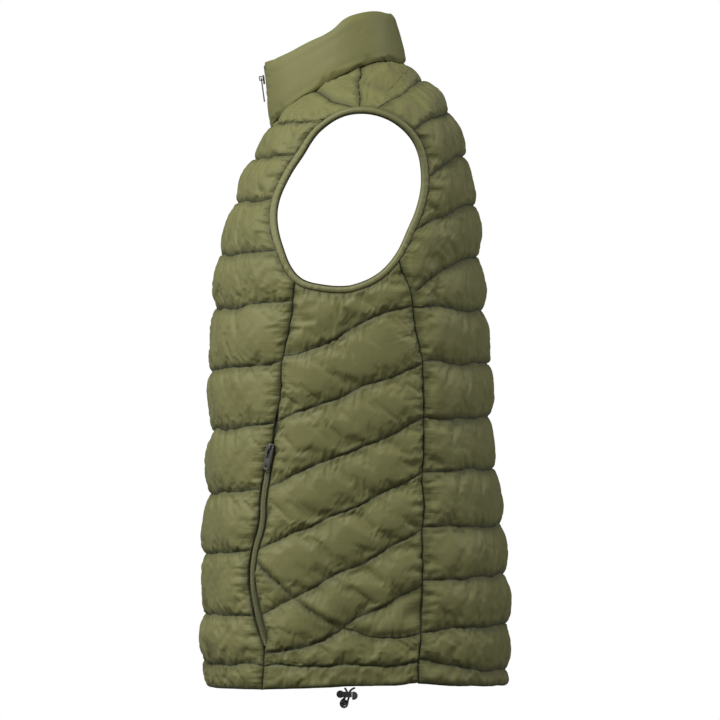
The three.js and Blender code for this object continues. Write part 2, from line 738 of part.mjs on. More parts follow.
const backHalf = quiltedPanel({
  surface: backSurface,
  rowCount: BACK_ROWS.length,
  columns: HALF_COLUMNS.filter((s) => s !== 0.035),
  facing: -1,
  edgeNormal: (s, t) => {
    if (s === 1) return backOuter.normalAt(backEnds(t).outer);
    if (t === backLast) return neckNormal(mix(Math.PI, SHOULDER_TURN, s));
    if (s === 0) return backInner.normalAt(backEnds(t).inner);
    return null;
  },
  rise: panelRise(backSurface, BACK_ROWS.length, false),
});

const SIDE_COLUMNS = [0, 0.04, 0.13, 0.27, 0.42, 0.58, 0.73, 0.87, 0.96, 1];
const bagFade = (point) => 0.25 + 0.75 * pinch(distanceToRun(POCKET_BAG_SEAM, point), 13);
const sidePanel = quiltedPanel({
  surface: sideSurface,
  rowCount: SIDE_ROWS.length + 1,
  columns: SIDE_COLUMNS,
  facing: 1,
  edgeNormal: (s, t) => {
    const point = sideSurface(s, t);
    return torsoNormal(point.y, point.z);
  },
  rise: panelRise(sideSurface, SIDE_ROWS.length + 1, true, bagFade),
});

// Both halves of the back in one grid, from the wearer's left to right
const wholeBack = (grid) => grid.map((row) => [...row].reverse().concat(mirrored(row.slice(1))));

// Strips and rings: a closed profile carried along stations, ended by caps or joined round

function sweep(rings, closedRound) {
  const sides = rings[0].length;
  const positions = rings.flat();
  const index = [];
  const spans = closedRound ? rings.length : rings.length - 1;
  for (let r = 0; r < spans; r += 1) {
    const next = (r + 1) % rings.length;
    for (let c = 0; c < sides; c += 1) {
      const d = (c + 1) % sides;
      index.push(r * sides + c, r * sides + d, next * sides + d);
      index.push(r * sides + c, next * sides + d, next * sides + c);
    }
  }
  if (!closedRound) {
    for (const [start, flip] of [[0, true], [(rings.length - 1) * sides, false]]) {
      const outline = rings[start / sides];
      const cap = capTriangles(outline);
      cap.forEach(([a, b, c]) => {
        index.push(...(flip ? [start + a, start + c, start + b] : [start + a, start + b, start + c]));
      });
    }
  }
  return meshGeometry(positions, index);
}

// Triangles of a flat outline, with the outline's own turning sense
function capTriangles(outline) {
  const centre = outline.reduce((sum, p) => sum.add(p), vec(0, 0, 0)).divideScalar(outline.length);
  const normal = outline.reduce((sum, p, i) => {
    const q = outline[(i + 1) % outline.length];
    return sum.add(p.clone().sub(centre).cross(q.clone().sub(centre)));
  }, vec(0, 0, 0)).normalize();
  const right = outline[1].clone().sub(outline[0]).normalize();
  const up = normal.clone().cross(right);
  const flat = outline.map((p) => new THREE.Vector2(p.dot(right), p.dot(up)));
  return THREE.ShapeUtils.triangulateShape(flat, []);
}

// Turns a closed geometry inside out where its volume comes out negative
function facingOut(geometry) {
  const position = geometry.getAttribute('position');
  const index = geometry.getIndex().array;
  const corner = (i) => new THREE.Vector3().fromBufferAttribute(position, index[i]);
  let volume = 0;
  for (let i = 0; i < index.length; i += 3) {
    volume += corner(i).dot(corner(i + 1).cross(corner(i + 2)));
  }
  if (volume > 0) return geometry;
  const turned = Array.from(index);
  for (let i = 0; i < turned.length; i += 3) {
    [turned[i + 1], turned[i + 2]] = [turned[i + 2], turned[i + 1]];
  }
  geometry.setIndex(turned);
  return geometry;
}

// Collar: rise along the collar and distance out from its middle sheet, in millimetres
const COLLAR_PROFILE = [
  { rise: 0, out: 0.6 },
  { rise: 0.06, out: 2.6 },
  { rise: 0.2, out: 5.4 },
  { rise: 0.45, out: 6 },
  { rise: 0.72, out: 5.2 },
  { rise: 0.92, out: 3.4 },
  { rise: 1, out: 0 },
  { rise: 0.93, out: -3 },
  { rise: 0.7, out: -4.2 },
  { rise: 0.35, out: -4.2 },
  { rise: 0.08, out: -3 },
  { rise: 0, out: -1.9 },
];
const COLLAR_LIFT = SEAM_GAP + CURVE_ALLOWANCE;
const COLLAR_START = Math.asin((ZIP_EDGE + ZIP_CLEARANCE) / COLLAR_TOP.half);
const COLLAR_FRONT = { thinness: 0.3, taper: 0.36 };

function collarRing(turn) {
  const foot = neckPoint(turn);
  const top = collarTopPoint(turn);
  const up = top.clone().sub(foot);
  const height = up.length();
  up.normalize();
  const round = neckPoint(turn + 0.01).sub(neckPoint(turn - 0.01));
  round.z = 0;
  const out = round.cross(vec(0, 0, 1)).normalize();
  out.addScaledVector(up, -out.dot(up)).normalize();
  const { thinness, taper } = COLLAR_FRONT;
  const fullness = mix(thinness, 1, smooth((turn - COLLAR_START) / taper));
  return COLLAR_PROFILE.map(({ rise, out: distance }) => foot.clone()
    .addScaledVector(up, COLLAR_LIFT + rise * (height - COLLAR_LIFT))
    .addScaledVector(out, distance > 0 ? distance * fullness : distance));
}

const COLLAR_STATIONS = 17;
function collarGeometry() {
  const half = steps(COLLAR_STATIONS).map((k) => collarRing(mix(COLLAR_START, Math.PI, k)));
  const trimmed = half.map((ring, i) => (i === 0
    ? ring.map((p) => vec(ZIP_EDGE, p.y, p.z))
    : ring));
  const other = trimmed.slice(0, -1).map((ring) => mirrored(ring)).reverse();
  return facingOut(sweep([...trimmed, ...other], false));
}

// Armhole binding: a folded band between the hole and the panels
const BINDING_PROFILE = [
  { margin: 0, out: -1.4 },
  { margin: 0.4, out: 1 },
  { margin: 3.5, out: 1.9 },
  { margin: BINDING_WIDTH, out: 0.9 },
  { margin: BINDING_WIDTH, out: -WALL },
  { margin: 2, out: -WALL - 0.4 },
];
const BINDING_STATIONS = 44;
function bindingGeometry(side) {
  const rings = steps(BINDING_STATIONS).slice(1).map((k) => {
    const angle = mix(180, -180, k);
    return BINDING_PROFILE.map(({ margin, out }) => {
      const point = armholeAt(angle, margin);
      const flat = torsoNormal(point.y, point.z);
      return point.addScaledVector(vec(flat.x, flat.y, 0).normalize(), out);
    });
  });
  return facingOut(sweep(side > 0 ? rings : rings.map(mirrored), true));
}

// Zips: a tape with a raised run of teeth or coil, as distance across and out from the seam
const zipProfile = (half, toothHalf, back, front, teeth) => [
  { across: -half, out: back },
  { across: -half, out: front },
  { across: -toothHalf, out: front },
  { across: -toothHalf * 0.8, out: teeth },
  { across: toothHalf * 0.8, out: teeth },
  { across: toothHalf, out: front },
  { across: half, out: front },
  { across: half, out: back },
];
const TAPE_OUT = -0.6;
const TEETH_OUT = 0.7;
const FRONT_TEETH_HALF = 2.6;
const POCKET_TEETH_HALF = 2.9;
const FRONT_ZIP_PROFILE = zipProfile(ZIP_HALF, FRONT_TEETH_HALF, -WALL, TAPE_OUT, TEETH_OUT);
const POCKET_ZIP_PROFILE = zipProfile(POCKET_ZIP_HALF, POCKET_TEETH_HALF, -WALL, TAPE_OUT,
  TEETH_OUT);

// The line of the centre front, from the torso up in front of the collar's ends
const ZIP_LEAD = 2.6;
const COLLAR_BLEND = 24;
function centreLine(z) {
  const foot = neckPoint(0);
  const top = collarTopPoint(0);
  const collarY = mix(foot.y, top.y - ZIP_LEAD, (z - foot.z) / (top.z - foot.z));
  const blend = smooth((z - foot.z) / COLLAR_BLEND + 0.5);
  return vec(0, mix(frontAt(z), collarY, blend), z);
}

function centreFrame(z) {
  const up = centreLine(z + 1).sub(centreLine(z - 1)).normalize();
  return { point: centreLine(z), across: vec(1, 0, 0), up, out: vec(1, 0, 0).cross(up) };
}

function frontZipGeometry() {
  const rings = steps(26).map((k) => {
    const { point, across, out } = centreFrame(mix(FRONT_ZIP_FOOT, FRONT_ZIP_TOP, k));
    return FRONT_ZIP_PROFILE.map((p) => point.clone()
      .addScaledVector(across, p.across)
      .addScaledVector(out, p.out));
  });
  return facingOut(sweep(rings, false));
}
const FRONT_ZIP_FOOT = -664;
const FRONT_ZIP_TOP = 29;

const POCKET_ZIP_TOP = POCKET_TOP - 0.55 * POCKET_TAPER;
const POCKET_ZIP_FOOT = POCKET_FOOT + 0.6 * POCKET_TAPER;
const POCKET_MIDDLE = (POCKET_TOP + POCKET_FOOT) / 2;
function pocketZipGeometry(side) {
  const rings = steps(20).map((k) => {
    const z = mix(POCKET_ZIP_FOOT, POCKET_ZIP_TOP, k);
    const full = frontSeamHalfGap(POCKET_MIDDLE);
    const narrowing = (frontSeamHalfGap(z) - CURVE_ALLOWANCE) / (full - CURVE_ALLOWANCE);
    return POCKET_ZIP_PROFILE.map((p) => {
      const y = frontSeamAt(z) + p.across * narrowing;
      return torsoAt(y, z).addScaledVector(torsoNormal(y, z), p.out);
    });
  });
  return facingOut(sweep(side > 0 ? rings : rings.map(mirrored), false));
}

// Sliders and pulls, drawn in their own frame: x across, y up along the zip, z out of the cloth
const SLIDER = { half: 3.8, top: 3.4, height: 10.5, corner: 1.5, waist: 3.3, tail: 2.6, foot: 1.1,
  plate: 3.3, bridgeHalf: 1.2, span: 1.5, leg: 1.2, roof: 6.2, crown: 7.4 };
const PULL = { axisOut: 4.75, thick: 1.5, half: 4.9, corner: 1.2, waist: 4.5, waistAt: 14.5,
  endHalf: 3.9, endCorner: 3, length: 27, eyeHalf: 1.95, eyeLength: 13.5, bar: 0.75,
  holeRadius: 1.9, holeAt: 22.6 };

function block(x0, x1, y0, y1, z0, z1) {
  const geometry = new THREE.BoxGeometry(x1 - x0, y1 - y0, z1 - z0);
  return geometry.translate((x0 + x1) / 2, (y0 + y1) / 2, (z0 + z1) / 2);
}

function toSolid(geometry) {
  const bare = geometry.clone();
  bare.deleteAttribute('normal');
  bare.deleteAttribute('uv');
  const merged = mergeVertices(bare, 1e-4);
  return new wasm.Manifold(new wasm.Mesh({
    numProp: 3,
    vertProperties: new Float32Array(merged.getAttribute('position').array),
    triVerts: new Uint32Array(merged.getIndex().array),
  }));
}

function toGeometry(solid) {
  const mesh = solid.getMesh();
  const geometry = new THREE.BufferGeometry();
  geometry.setAttribute('position', new THREE.BufferAttribute(mesh.vertProperties, 3));
  geometry.setIndex(new THREE.BufferAttribute(mesh.triVerts, 1));
  return geometry;
}

// Slider: a plate with waisted flanks and a bridge over the pull's bar
function sliderGeometry() {
  const { half, top, height, corner, waist, tail, foot, plate } = SLIDER;
  const bottom = top - height;
  const outline = new THREE.Shape();
  outline.moveTo(-half, top - corner);
  outline.quadraticCurveTo(-half, top, -half + corner, top);
  outline.lineTo(half - corner, top);
  outline.quadraticCurveTo(half, top, half, top - corner);
  outline.lineTo(waist, (top + bottom) / 2);
  outline.lineTo(tail, bottom);
  outline.lineTo(-tail, bottom);
  outline.lineTo(-waist, (top + bottom) / 2);
  const body = new THREE.ExtrudeGeometry(outline, {
    depth: plate - foot,
    bevelEnabled: false,
    curveSegments: 3,
  }).translate(0, 0, foot);
  const { bridgeHalf, span, leg, roof, crown } = SLIDER;
  const reach = span + leg;
  const bridge = toSolid(block(-bridgeHalf, bridgeHalf, -reach, reach, plate - 0.5, crown))
    .subtract(toSolid(block(-bridgeHalf - 1, bridgeHalf + 1, -span, span, plate, roof)));
  return toGeometry(toSolid(body).add(bridge));
}

// Pull tab hanging from its bar at the frame's origin, with an eye and a round hole
function pullOutline() {
  const { half, corner, waist, waistAt, endHalf, endCorner, length, bar } = PULL;
  const outline = new THREE.Shape();
  outline.moveTo(-half + corner, bar);
  outline.lineTo(half - corner, bar);
  outline.quadraticCurveTo(half, bar, half, bar - corner);
  outline.lineTo(waist, -waistAt);
  outline.lineTo(endHalf, -length + endCorner);
  outline.quadraticCurveTo(endHalf, -length, 0, -length);
  outline.quadraticCurveTo(-endHalf, -length, -endHalf, -length + endCorner);
  outline.lineTo(-waist, -waistAt);
  outline.lineTo(-half, bar - corner);
  outline.quadraticCurveTo(-half, bar, -half + corner, bar);
  return outline;
}

function pullGeometry() {
  const { axisOut, thick, eyeHalf, eyeLength, bar, holeRadius, holeAt } = PULL;
  const plate = new THREE.ExtrudeGeometry(pullOutline(), {
    depth: thick,
    bevelEnabled: false,
    curveSegments: 4,
  }).translate(0, 0, axisOut - thick / 2);
  const eye = block(-eyeHalf, eyeHalf, -eyeLength, -bar, axisOut - thick, axisOut + thick);
  const hole = new THREE.CylinderGeometry(holeRadius, holeRadius, 3 * thick, 16)
    .rotateX(Math.PI / 2)
    .translate(0, -holeAt, axisOut);
  return toGeometry(toSolid(plate).subtract(toSolid(eye)).subtract(toSolid(hole)));
}

function placeInFrame(mesh, frame) {
  const basis = new THREE.Matrix4().makeBasis(frame.across, frame.up, frame.out);
  mesh.quaternion.setFromRotationMatrix(basis);
  mesh.position.copy(frame.point);
  return mesh;
}

const FRONT_SLIDER_Z = 15;
const POCKET_SLIDER_Z = -402;
function pocketFrame(side) {
  const y = frontSeamAt(POCKET_SLIDER_Z);
  const point = torsoAt(y, POCKET_SLIDER_Z);
  const flat = torsoNormal(y, POCKET_SLIDER_Z);
  const out = vec(flat.x, flat.y, 0).normalize();
  const foot = POCKET_SLIDER_Z - PULL.length;
  const run = point.clone().sub(torsoAt(frontSeamAt(foot), foot));
  const up = run.addScaledVector(out, -run.dot(out)).normalize();
  for (const v of [point, up, out]) v.x *= side;
  return { point, across: up.clone().cross(out), up, out };
}

// Drawcord, its lock and its knot

function cordGeometry() {
  const route = new THREE.CatmullRomCurve3(CORD_ROUTE.map((p) => vec(CORD_X, p.y, p.z)));
  const ring = new THREE.Shape();
  const radius = CORD_DIAMETER / 2;
  steps(8).slice(1).forEach((k, i) => {
    const turn = 2 * Math.PI * k;
    if (i === 0) ring.moveTo(radius * Math.cos(turn), radius * Math.sin(turn));
    else ring.lineTo(radius * Math.cos(turn), radius * Math.sin(turn));
  });
  return new THREE.ExtrudeGeometry(ring, { steps: 32, extrudePath: route, bevelEnabled: false });
}

const LOCK = { noseRadius: 4.3, noseY: -22.3, noseZ: -680.5, half: 3.3, front: -21, back: -9.2,
  foot: -684, head: -677.6, slotHalf: 1.5, slotFront: -18.6, slotBack: -10.1 };
const BUTTON = { radius: 4.7, half: 3.7, y: -7.2, z: -682.2, face: -8.9 };
const KNOT = { radius: 2.3, flatness: 0.8, y: -17.9, z: -690.9 };

const drum = (radius, half, y, z) => new THREE.CylinderGeometry(radius, radius, 2 * half, 20)
  .rotateZ(Math.PI / 2)
  .translate(CORD_X, y, z);
const slab = (half, front, back, foot, head) => toSolid(
  block(CORD_X - half, CORD_X + half, front, back, foot, head),
);

// Lock body: a round nose on a block with a slot that the two runs of cord pass through
function cordLockGeometry() {
  const { noseRadius, noseY, noseZ, half, front, back, foot, head } = LOCK;
  const nose = toSolid(drum(noseRadius, half, noseY, noseZ));
  const middle = slab(half, front, back, foot, head);
  const slot = slab(LOCK.slotHalf, LOCK.slotFront, LOCK.slotBack, foot - 6, head + 6);
  return toGeometry(nose.add(middle).subtract(slot));
}

function cordButtonGeometry() {
  const { radius, half, y, z, face } = BUTTON;
  const cut = slab(half + 1, face - radius, face, z - 2 * radius, z + 2 * radius);
  return toGeometry(toSolid(drum(radius, half, y, z)).subtract(cut));
}

const cordKnotGeometry = () => new THREE.SphereGeometry(KNOT.radius, 10, 8)
  .scale(KNOT.flatness, 1, 1)
  .translate(CORD_X, KNOT.y, KNOT.z);

// Zip box that joins the two tapes at the hem
const ZIP_BOX = { half: 4.4, foot: -674, head: -664.5, back: -2.2, front: 1.6 };
function zipBoxGeometry() {
  const y = frontAt(-669);
  return block(-ZIP_BOX.half, ZIP_BOX.half, y - ZIP_BOX.front, y - ZIP_BOX.back,
    ZIP_BOX.foot, ZIP_BOX.head);
}

// Scene graph

const vest = new THREE.Group();
const add = (name, geometry, material) => {
  const mesh = new THREE.Mesh(geometry, material);
  mesh.name = name;
  vest.add(mesh);
  return mesh;
};

const leftWall = (panel) => facingOut(gridWall(panel.outer, panel.innerFace));
const rightWall = (panel) => facingOut(gridWall(mirrorRows(panel.outer), mirrorRows(panel.innerFace)));

add('front_left', leftWall(frontPanel), NYLON());
add('front_right', rightWall(frontPanel), NYLON());
add('side_left', leftWall(sidePanel), NYLON());
add('side_right', rightWall(sidePanel), NYLON());
add('back', facingOut(gridWall(wholeBack(backHalf.outer), wholeBack(backHalf.innerFace))), NYLON());
add('collar', collarGeometry(), NYLON());
add('binding_left', bindingGeometry(1), NYLON_TRIM());
add('binding_right', bindingGeometry(-1), NYLON_TRIM());
add('front_zip', frontZipGeometry(), TAPE());
add('front_zip_box', zipBoxGeometry(), GUNMETAL());
placeInFrame(add('front_slider', sliderGeometry(), GUNMETAL()), centreFrame(FRONT_SLIDER_Z));
placeInFrame(add('front_pull', pullGeometry(), GUNMETAL()), centreFrame(FRONT_SLIDER_Z));
for (const [name, side] of [['left', 1], ['right', -1]]) {
  add(`pocket_zip_${name}`, pocketZipGeometry(side), TAPE());
  placeInFrame(add(`pocket_slider_${name}`, sliderGeometry(), GUNMETAL()), pocketFrame(side));
  placeInFrame(add(`pocket_pull_${name}`, pullGeometry(), GUNMETAL()), pocketFrame(side));
}
add('drawcord', cordGeometry(), CORD_BLACK());
add('cord_lock', cordLockGeometry(), PLASTIC());
add('cord_lock_button', cordButtonGeometry(), PLASTIC());
add('drawcord_knot', cordKnotGeometry(), CORD_BLACK());

export default vest;
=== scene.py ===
"""A sleeveless quilted puffer vest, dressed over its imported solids.

Shapes are worked out in millimetres from named tables and put into the meshes in metres.
+Z is up, the front faces -Y and the wearer's left is +X.
"""

from __future__ import annotations

import json
import logging
import math
from dataclasses import dataclass, field, fields
from enum import Enum
from typing import Callable

import bmesh
import bpy
import numpy as np
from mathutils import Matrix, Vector
from numpy.typing import NDArray

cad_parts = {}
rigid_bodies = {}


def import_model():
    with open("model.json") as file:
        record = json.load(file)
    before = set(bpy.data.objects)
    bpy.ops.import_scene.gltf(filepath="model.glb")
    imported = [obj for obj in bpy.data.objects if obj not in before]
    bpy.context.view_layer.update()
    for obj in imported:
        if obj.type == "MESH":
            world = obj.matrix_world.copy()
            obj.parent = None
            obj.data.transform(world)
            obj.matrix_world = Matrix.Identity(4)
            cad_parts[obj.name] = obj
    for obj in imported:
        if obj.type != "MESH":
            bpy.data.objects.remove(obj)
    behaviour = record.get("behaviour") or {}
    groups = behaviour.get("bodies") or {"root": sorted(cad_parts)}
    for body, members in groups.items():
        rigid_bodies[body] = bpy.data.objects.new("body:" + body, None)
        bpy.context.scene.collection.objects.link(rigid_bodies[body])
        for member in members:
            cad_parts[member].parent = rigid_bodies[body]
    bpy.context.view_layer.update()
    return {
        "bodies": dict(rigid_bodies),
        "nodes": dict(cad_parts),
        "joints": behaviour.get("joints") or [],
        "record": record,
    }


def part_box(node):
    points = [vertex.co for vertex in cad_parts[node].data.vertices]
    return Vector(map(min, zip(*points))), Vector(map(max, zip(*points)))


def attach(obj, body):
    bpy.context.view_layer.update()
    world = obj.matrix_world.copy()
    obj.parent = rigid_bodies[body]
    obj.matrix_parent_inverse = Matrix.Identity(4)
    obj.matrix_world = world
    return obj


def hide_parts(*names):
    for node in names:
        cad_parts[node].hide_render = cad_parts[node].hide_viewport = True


Array = NDArray[np.float64]
Faces = NDArray[np.int64]
Piece = bpy.types.Object
Finish = bpy.types.Material
Socket = bpy.types.NodeSocket

LOG = logging.getLogger("vest")
MM = 0.001

WALL = 2.5
UNDERLAP = 0.8
SEAM_MEET = 0.03
ROUNDNESS = 2.5
PUFF_HEIGHT = 6.6
FULL_CHANNEL = 46.0
SEAM_PINCH = 20.0
NECK_PINCH = 58.0
ZIP_HALF = 5.0
POCKET_ZIP_HALF = 4.4
BINDING_WIDTH = 7.0
ZIP_EDGE = ZIP_HALF - UNDERLAP
ARM_MARGIN = BINDING_WIDTH - UNDERLAP
RIPPLE_WAVES = 7
DENT_WAVES = 9
DENSE_POINTS = 241
ZIP_STATIONS = 240
WEAVE_DEPTH = 0.00002
FAR = 1e3
NEAR = 1e2
SEWN = 0.01
LINING_OFF = 30.0
HEM_BELOW = -679.0

# z, front, back, half width
SECTIONS = np.array([
    (-680, -170, 165, 190), (-648, -174.7, 162, 190), (-591, -174.7, 162.5, 190),
    (-524, -172.9, 159.5, 190.5), (-459, -168.7, 152, 192), (-389, -164.4, 145.5, 194),
    (-320, -165, 143, 196.5), (-248, -161, 137.5, 199), (-187, -155.5, 131, 200),
    (-129, -138.5, 126.5, 199.5), (-79, -116.4, 115.5, 198.5), (-42, -99.2, 104, 197),
    (-16, -90, 94, 195),
], dtype=float)

# angle from the top towards the front, radius
ARMHOLE = np.array([
    (-180, 100), (-158, 91.5), (-141, 83.5), (-120, 76), (-100, 77.5), (-75, 85.5), (-47, 97),
    (-22, 98.5), (0, 94), (23, 83), (48, 71.5), (72, 73), (101, 84.5), (125, 94), (150, 107),
    (163, 103.5), (180, 100),
], dtype=float)
ARMHOLE_CENTRE = (-12.0, -121.0)
SHOULDER_TIP_ANGLE = -6.6

# z, y
FRONT_SEAM = np.array([
    (-680, -110.5), (-644, -108), (-620, -108), (-595, -114.3), (-553, -121), (-513, -116.7),
    (-497, -112), (-483, -109.6), (-466, -109), (-428, -103.5), (-398, -98), (-350, -90),
    (-305, -86), (-260, -79), (-200, -71),
], dtype=float)
BACK_SEAM = np.array([
    (-680, 67), (-644, 64.5), (-607, 68.5), (-540, 70.5), (-457, 71.5), (-365, 71), (-300, 67),
    (-242, 59), (-215, 50.5), (-180, 40),
], dtype=float)
POCKET_TOP = -390.0
POCKET_FOOT = -634.0
POCKET_TAPER = 22.0
TUCK_TOP = -356.0
TUCK_FOOT = -404.0
TUCK_HALF = 1.9

# y, z
NECK_HEIGHTS = np.array([
    (-99.4, -42.5), (-91, -32.3), (-78, -22.3), (-62, -10.2), (-49, -2), (-35, 7.9), (-17.4, 18),
    (0, 26), (18.6, 31.5), (46, 29.6),
], dtype=float)
COLLAR_HEIGHTS = np.array([
    (-107, 32.8), (-85, 41), (-63, 52.5), (-35, 68), (-13.6, 83), (2.3, 88), (17, 89.5),
    (33, 87.5),
], dtype=float)

# inner y, inner z, outer y, outer z
FRONT_ROWS = np.array([
    (-170, -675, -112, -676), (-175, -648, -112, -648.5), (-175, -592, -117, -592),
    (-173, -523.6, -119, -518.7), (-168.5, -456.5, -110, -450), (-164, -387, -96, -375),
    (-162, -319, -88, -305.5), (-161, -248, -77, -238), (-155.5, -187, -99, -182),
    (-137, -127, -100, -121), (-116, -78.5, -73, -72), (-99.2, -42, -36, -36.5),
    (-49.5, -2.3, -7, -17), (0, 26, 0, -16.4),
], dtype=float)
BACK_ROWS = np.array([
    (165, -673, 67, -670), (163, -655, 65, -643), (164, -603.5, 69, -611), (163, -547.6, 71, -552),
    (157, -491.5, 71, -493), (150, -427, 71, -431), (147, -369.8, 71, -369),
    (144, -308.5, 68, -305), (139, -248.6, 60, -243), (133, -187, 56, -231),
    (127.5, -129.5, 64.7, -159.8), (115, -73.5, 81.8, -97.6), (99.4, -26, 61.8, -43),
    (70, 12.4, 20.3, -13.6), (46, 29.6, 0, 26),
], dtype=float)

# inner y, inner z, outer y, outer z, bow, sway
SIDE_ROWS = np.array([
    (-111, -676, 67, -669, 0, 0), (-111, -649, 65, -646, 0, 0), (-111, -637, 66, -612, 0, 0),
    (-111, -634, 69, -557, -9, -4), (-113, -591, 70, -497, 0, 0), (-117, -516, 70, -431.5, 0, -1),
    (-107, -446, 71, -369.5, 0, 2), (-92, -373.5, 67, -308, 0, 1), (-85, -300.5, 60, -242, 0, -3),
], dtype=float)
POCKET_ROW = 2
LEAST_CHANNEL = 1.5

# y, z
POCKET_BAG_SEAM = np.array([
    (-114, -531), (-94, -553.7), (-77, -569.7), (-53, -584.8), (-30, -598.9), (-8, -607.4),
    (26, -614.9), (45, -615.5), (66, -612),
], dtype=float)
CORD_X = 188.6
CORD_DIAMETER = 2.3
CORD_ROUTE = np.array([
    (-17.4, -673.3), (-16, -675.1), (-14.9, -677.4), (-15, -680.8), (-16.9, -684.4),
    (-20.2, -687.3), (-21.9, -690.7), (-20.9, -693.9), (-18.1, -695.3), (-15.3, -694),
    (-14.1, -691), (-13.6, -687.5), (-12.6, -684), (-12.2, -680.8), (-11.5, -677.4),
    (-8.8, -674.8), (-5.6, -673.3),
], dtype=float)

# rise along the collar, distance out from its middle sheet
COLLAR_OUTER = np.array([
    (0, 0.6), (-0.015, 2.8), (0.03, 5), (0.18, 6.4), (0.45, 6.2), (0.72, 5.2), (0.92, 3.4), (1, 0),
    (0.95, -2.6),
], dtype=float)
COLLAR_INNER = np.array([
    (0, -1.9), (0.08, -3), (0.35, -4.2), (0.7, -4.2), (0.88, -3.6),
], dtype=float)


class Body(Enum):
    """The rigid bodies that pieces ride on."""

    VEST = "vest"
    FRONT_PULL = "front_pull_tab"
    LEFT_PULL = "left_pocket_pull_tab"
    RIGHT_PULL = "right_pocket_pull_tab"


class Slot(Enum):
    """The record's material slots."""

    SHELL = "shell_nylon"
    TRIM = "trim_nylon"
    TAPE = "zip_tape"
    METAL = "zip_metal"
    CORD = "elastic_cord"
    PLASTIC = "lock_plastic"


class Side(Enum):
    """The wearer's side that a piece is on."""

    LEFT = 1
    RIGHT = -1


# Small mathematics


def mix(a: Array | float, b: Array | float, k: Array | float) -> Array:
    """Blend of a and b: a + (b - a) k."""
    return a + (b - a) * k


def smooth(k: Array) -> Array:
    """Smooth step of k between 0 and 1: k squared times (3 - 2 k)."""
    k = np.clip(k, 0, 1)
    return k * k * (3 - 2 * k)


def unit(v: Array) -> Array:
    """Vectors along the last axis, brought to length 1."""
    return v / np.maximum(np.linalg.norm(v, axis=-1, keepdims=True), 1e-12)


def stack(x: Array | float, y: Array | float, z: Array | float) -> Array:
    """Points from their coordinates, broadcast against each other."""
    return np.stack(np.broadcast_arrays(x, y, z), axis=-1).astype(float)


class SmoothColumn:
    """A smooth curve through a table: a cubic Hermite span between each two rows.

    The tangent at a row is the mean of the slopes before and after it, each weighed by the
    length of the other span.
    """

    def __init__(self, knots: Array, values: Array) -> None:
        """Works out the tangents from places in rising order and their values."""
        self.knots, self.values = knots, values
        spans = np.diff(knots)
        slopes = np.diff(values) / spans
        self.tangents = np.concatenate([
            slopes[:1],
            (slopes[:-1] * spans[1:] + slopes[1:] * spans[:-1]) / (spans[:-1] + spans[1:]),
            slopes[-1:],
        ])

    def __call__(self, place: Array | float) -> Array:
        """Value at each place; beyond the table's ends the curve runs on straight."""
        place = np.asarray(place, dtype=float)
        i = np.searchsorted(self.knots[1:-1], place, side="left")
        span = self.knots[i + 1] - self.knots[i]
        k = np.clip((place - self.knots[i]) / span, 0, 1)
        level = (2 * k**3 - 3 * k**2 + 1) * self.values[i]
        level = level + (3 * k**2 - 2 * k**3) * self.values[i + 1]
        lean = (k**3 - 2 * k**2 + k) * self.tangents[i] + (k**3 - k**2) * self.tangents[i + 1]
        low, high = self.knots[0], self.knots[-1]
        beyond = np.minimum(place - low, 0) * self.tangents[0]
        beyond = beyond + np.maximum(place - high, 0) * self.tangents[-1]
        return level + lean * span + beyond


def ripple(place: Array, length: float, rng: np.random.Generator) -> Array:
    """Ripples of about -1 to 1: a mean of sine waves whose lengths scatter about one."""
    total = np.zeros_like(place)
    for _ in range(RIPPLE_WAVES):
        stretch, phase, weight = rng.uniform(0.55, 1.9), rng.uniform(0, 6.28), rng.uniform(0.4, 1)
        total += weight * np.sin(2 * math.pi * place / (length * stretch) + phase)
    return total / math.sqrt(RIPPLE_WAVES)


def undulation(place: Array, size: float, rng: np.random.Generator) -> Array:
    """Dents of about -1 to 1: a mean of plane waves of about a size in scattered directions."""
    total = np.zeros(place.shape[:-1])
    for _ in range(DENT_WAVES):
        course = unit(rng.normal(size=place.shape[-1]))
        wave, phase = size * rng.uniform(0.6, 1.8), rng.uniform(0, 2 * math.pi)
        total += np.sin(2 * math.pi * (place @ course) / wave + phase)
    return total / math.sqrt(DENT_WAVES)


def pinch(distance: Array, reach: float) -> Array:
    """Round rise away from a seam: the quarter circle over the given reach."""
    return np.sqrt(1 - (1 - np.clip(distance / reach, 0, 1)) ** 2)


def beside(distance: Array, reach: float) -> Array:
    """Strength of gathers by their distance from a seam: none on it, then a peak that fades."""
    return np.exp(-distance / reach) * (1 - np.exp(-6 * distance / reach))


def run_lengths(points: Array, axis: int = 0) -> Array:
    """Length from the start to each point, along one axis of a grid or a line of points."""
    lengths = np.cumsum(np.linalg.norm(np.diff(points, axis=axis), axis=-1), axis=axis)
    return np.concatenate([np.zeros_like(lengths.take([0], axis)), lengths], axis=axis)


def whole_length(points: Array) -> float:
    """Length of a line of points."""
    return float(np.linalg.norm(np.diff(points, axis=0), axis=1).sum())


def grid_normals(points: Array) -> Array:
    """Outward directions of a grid: the cross product of the steps along and up."""
    return unit(np.cross(np.gradient(points, axis=1), np.gradient(points, axis=0)))


def upright(out: Array, tangent: Array) -> Array:
    """Directions turned square to others: out less its share along them."""
    return unit(out - (out * tangent).sum(-1, keepdims=True) * tangent)


def columns_at(where: Array, run: Array, values: Array) -> Array:
    """Each column of a table of values, read at lengths along a run."""
    return np.stack([np.interp(where, run, column) for column in values.T], axis=-1)


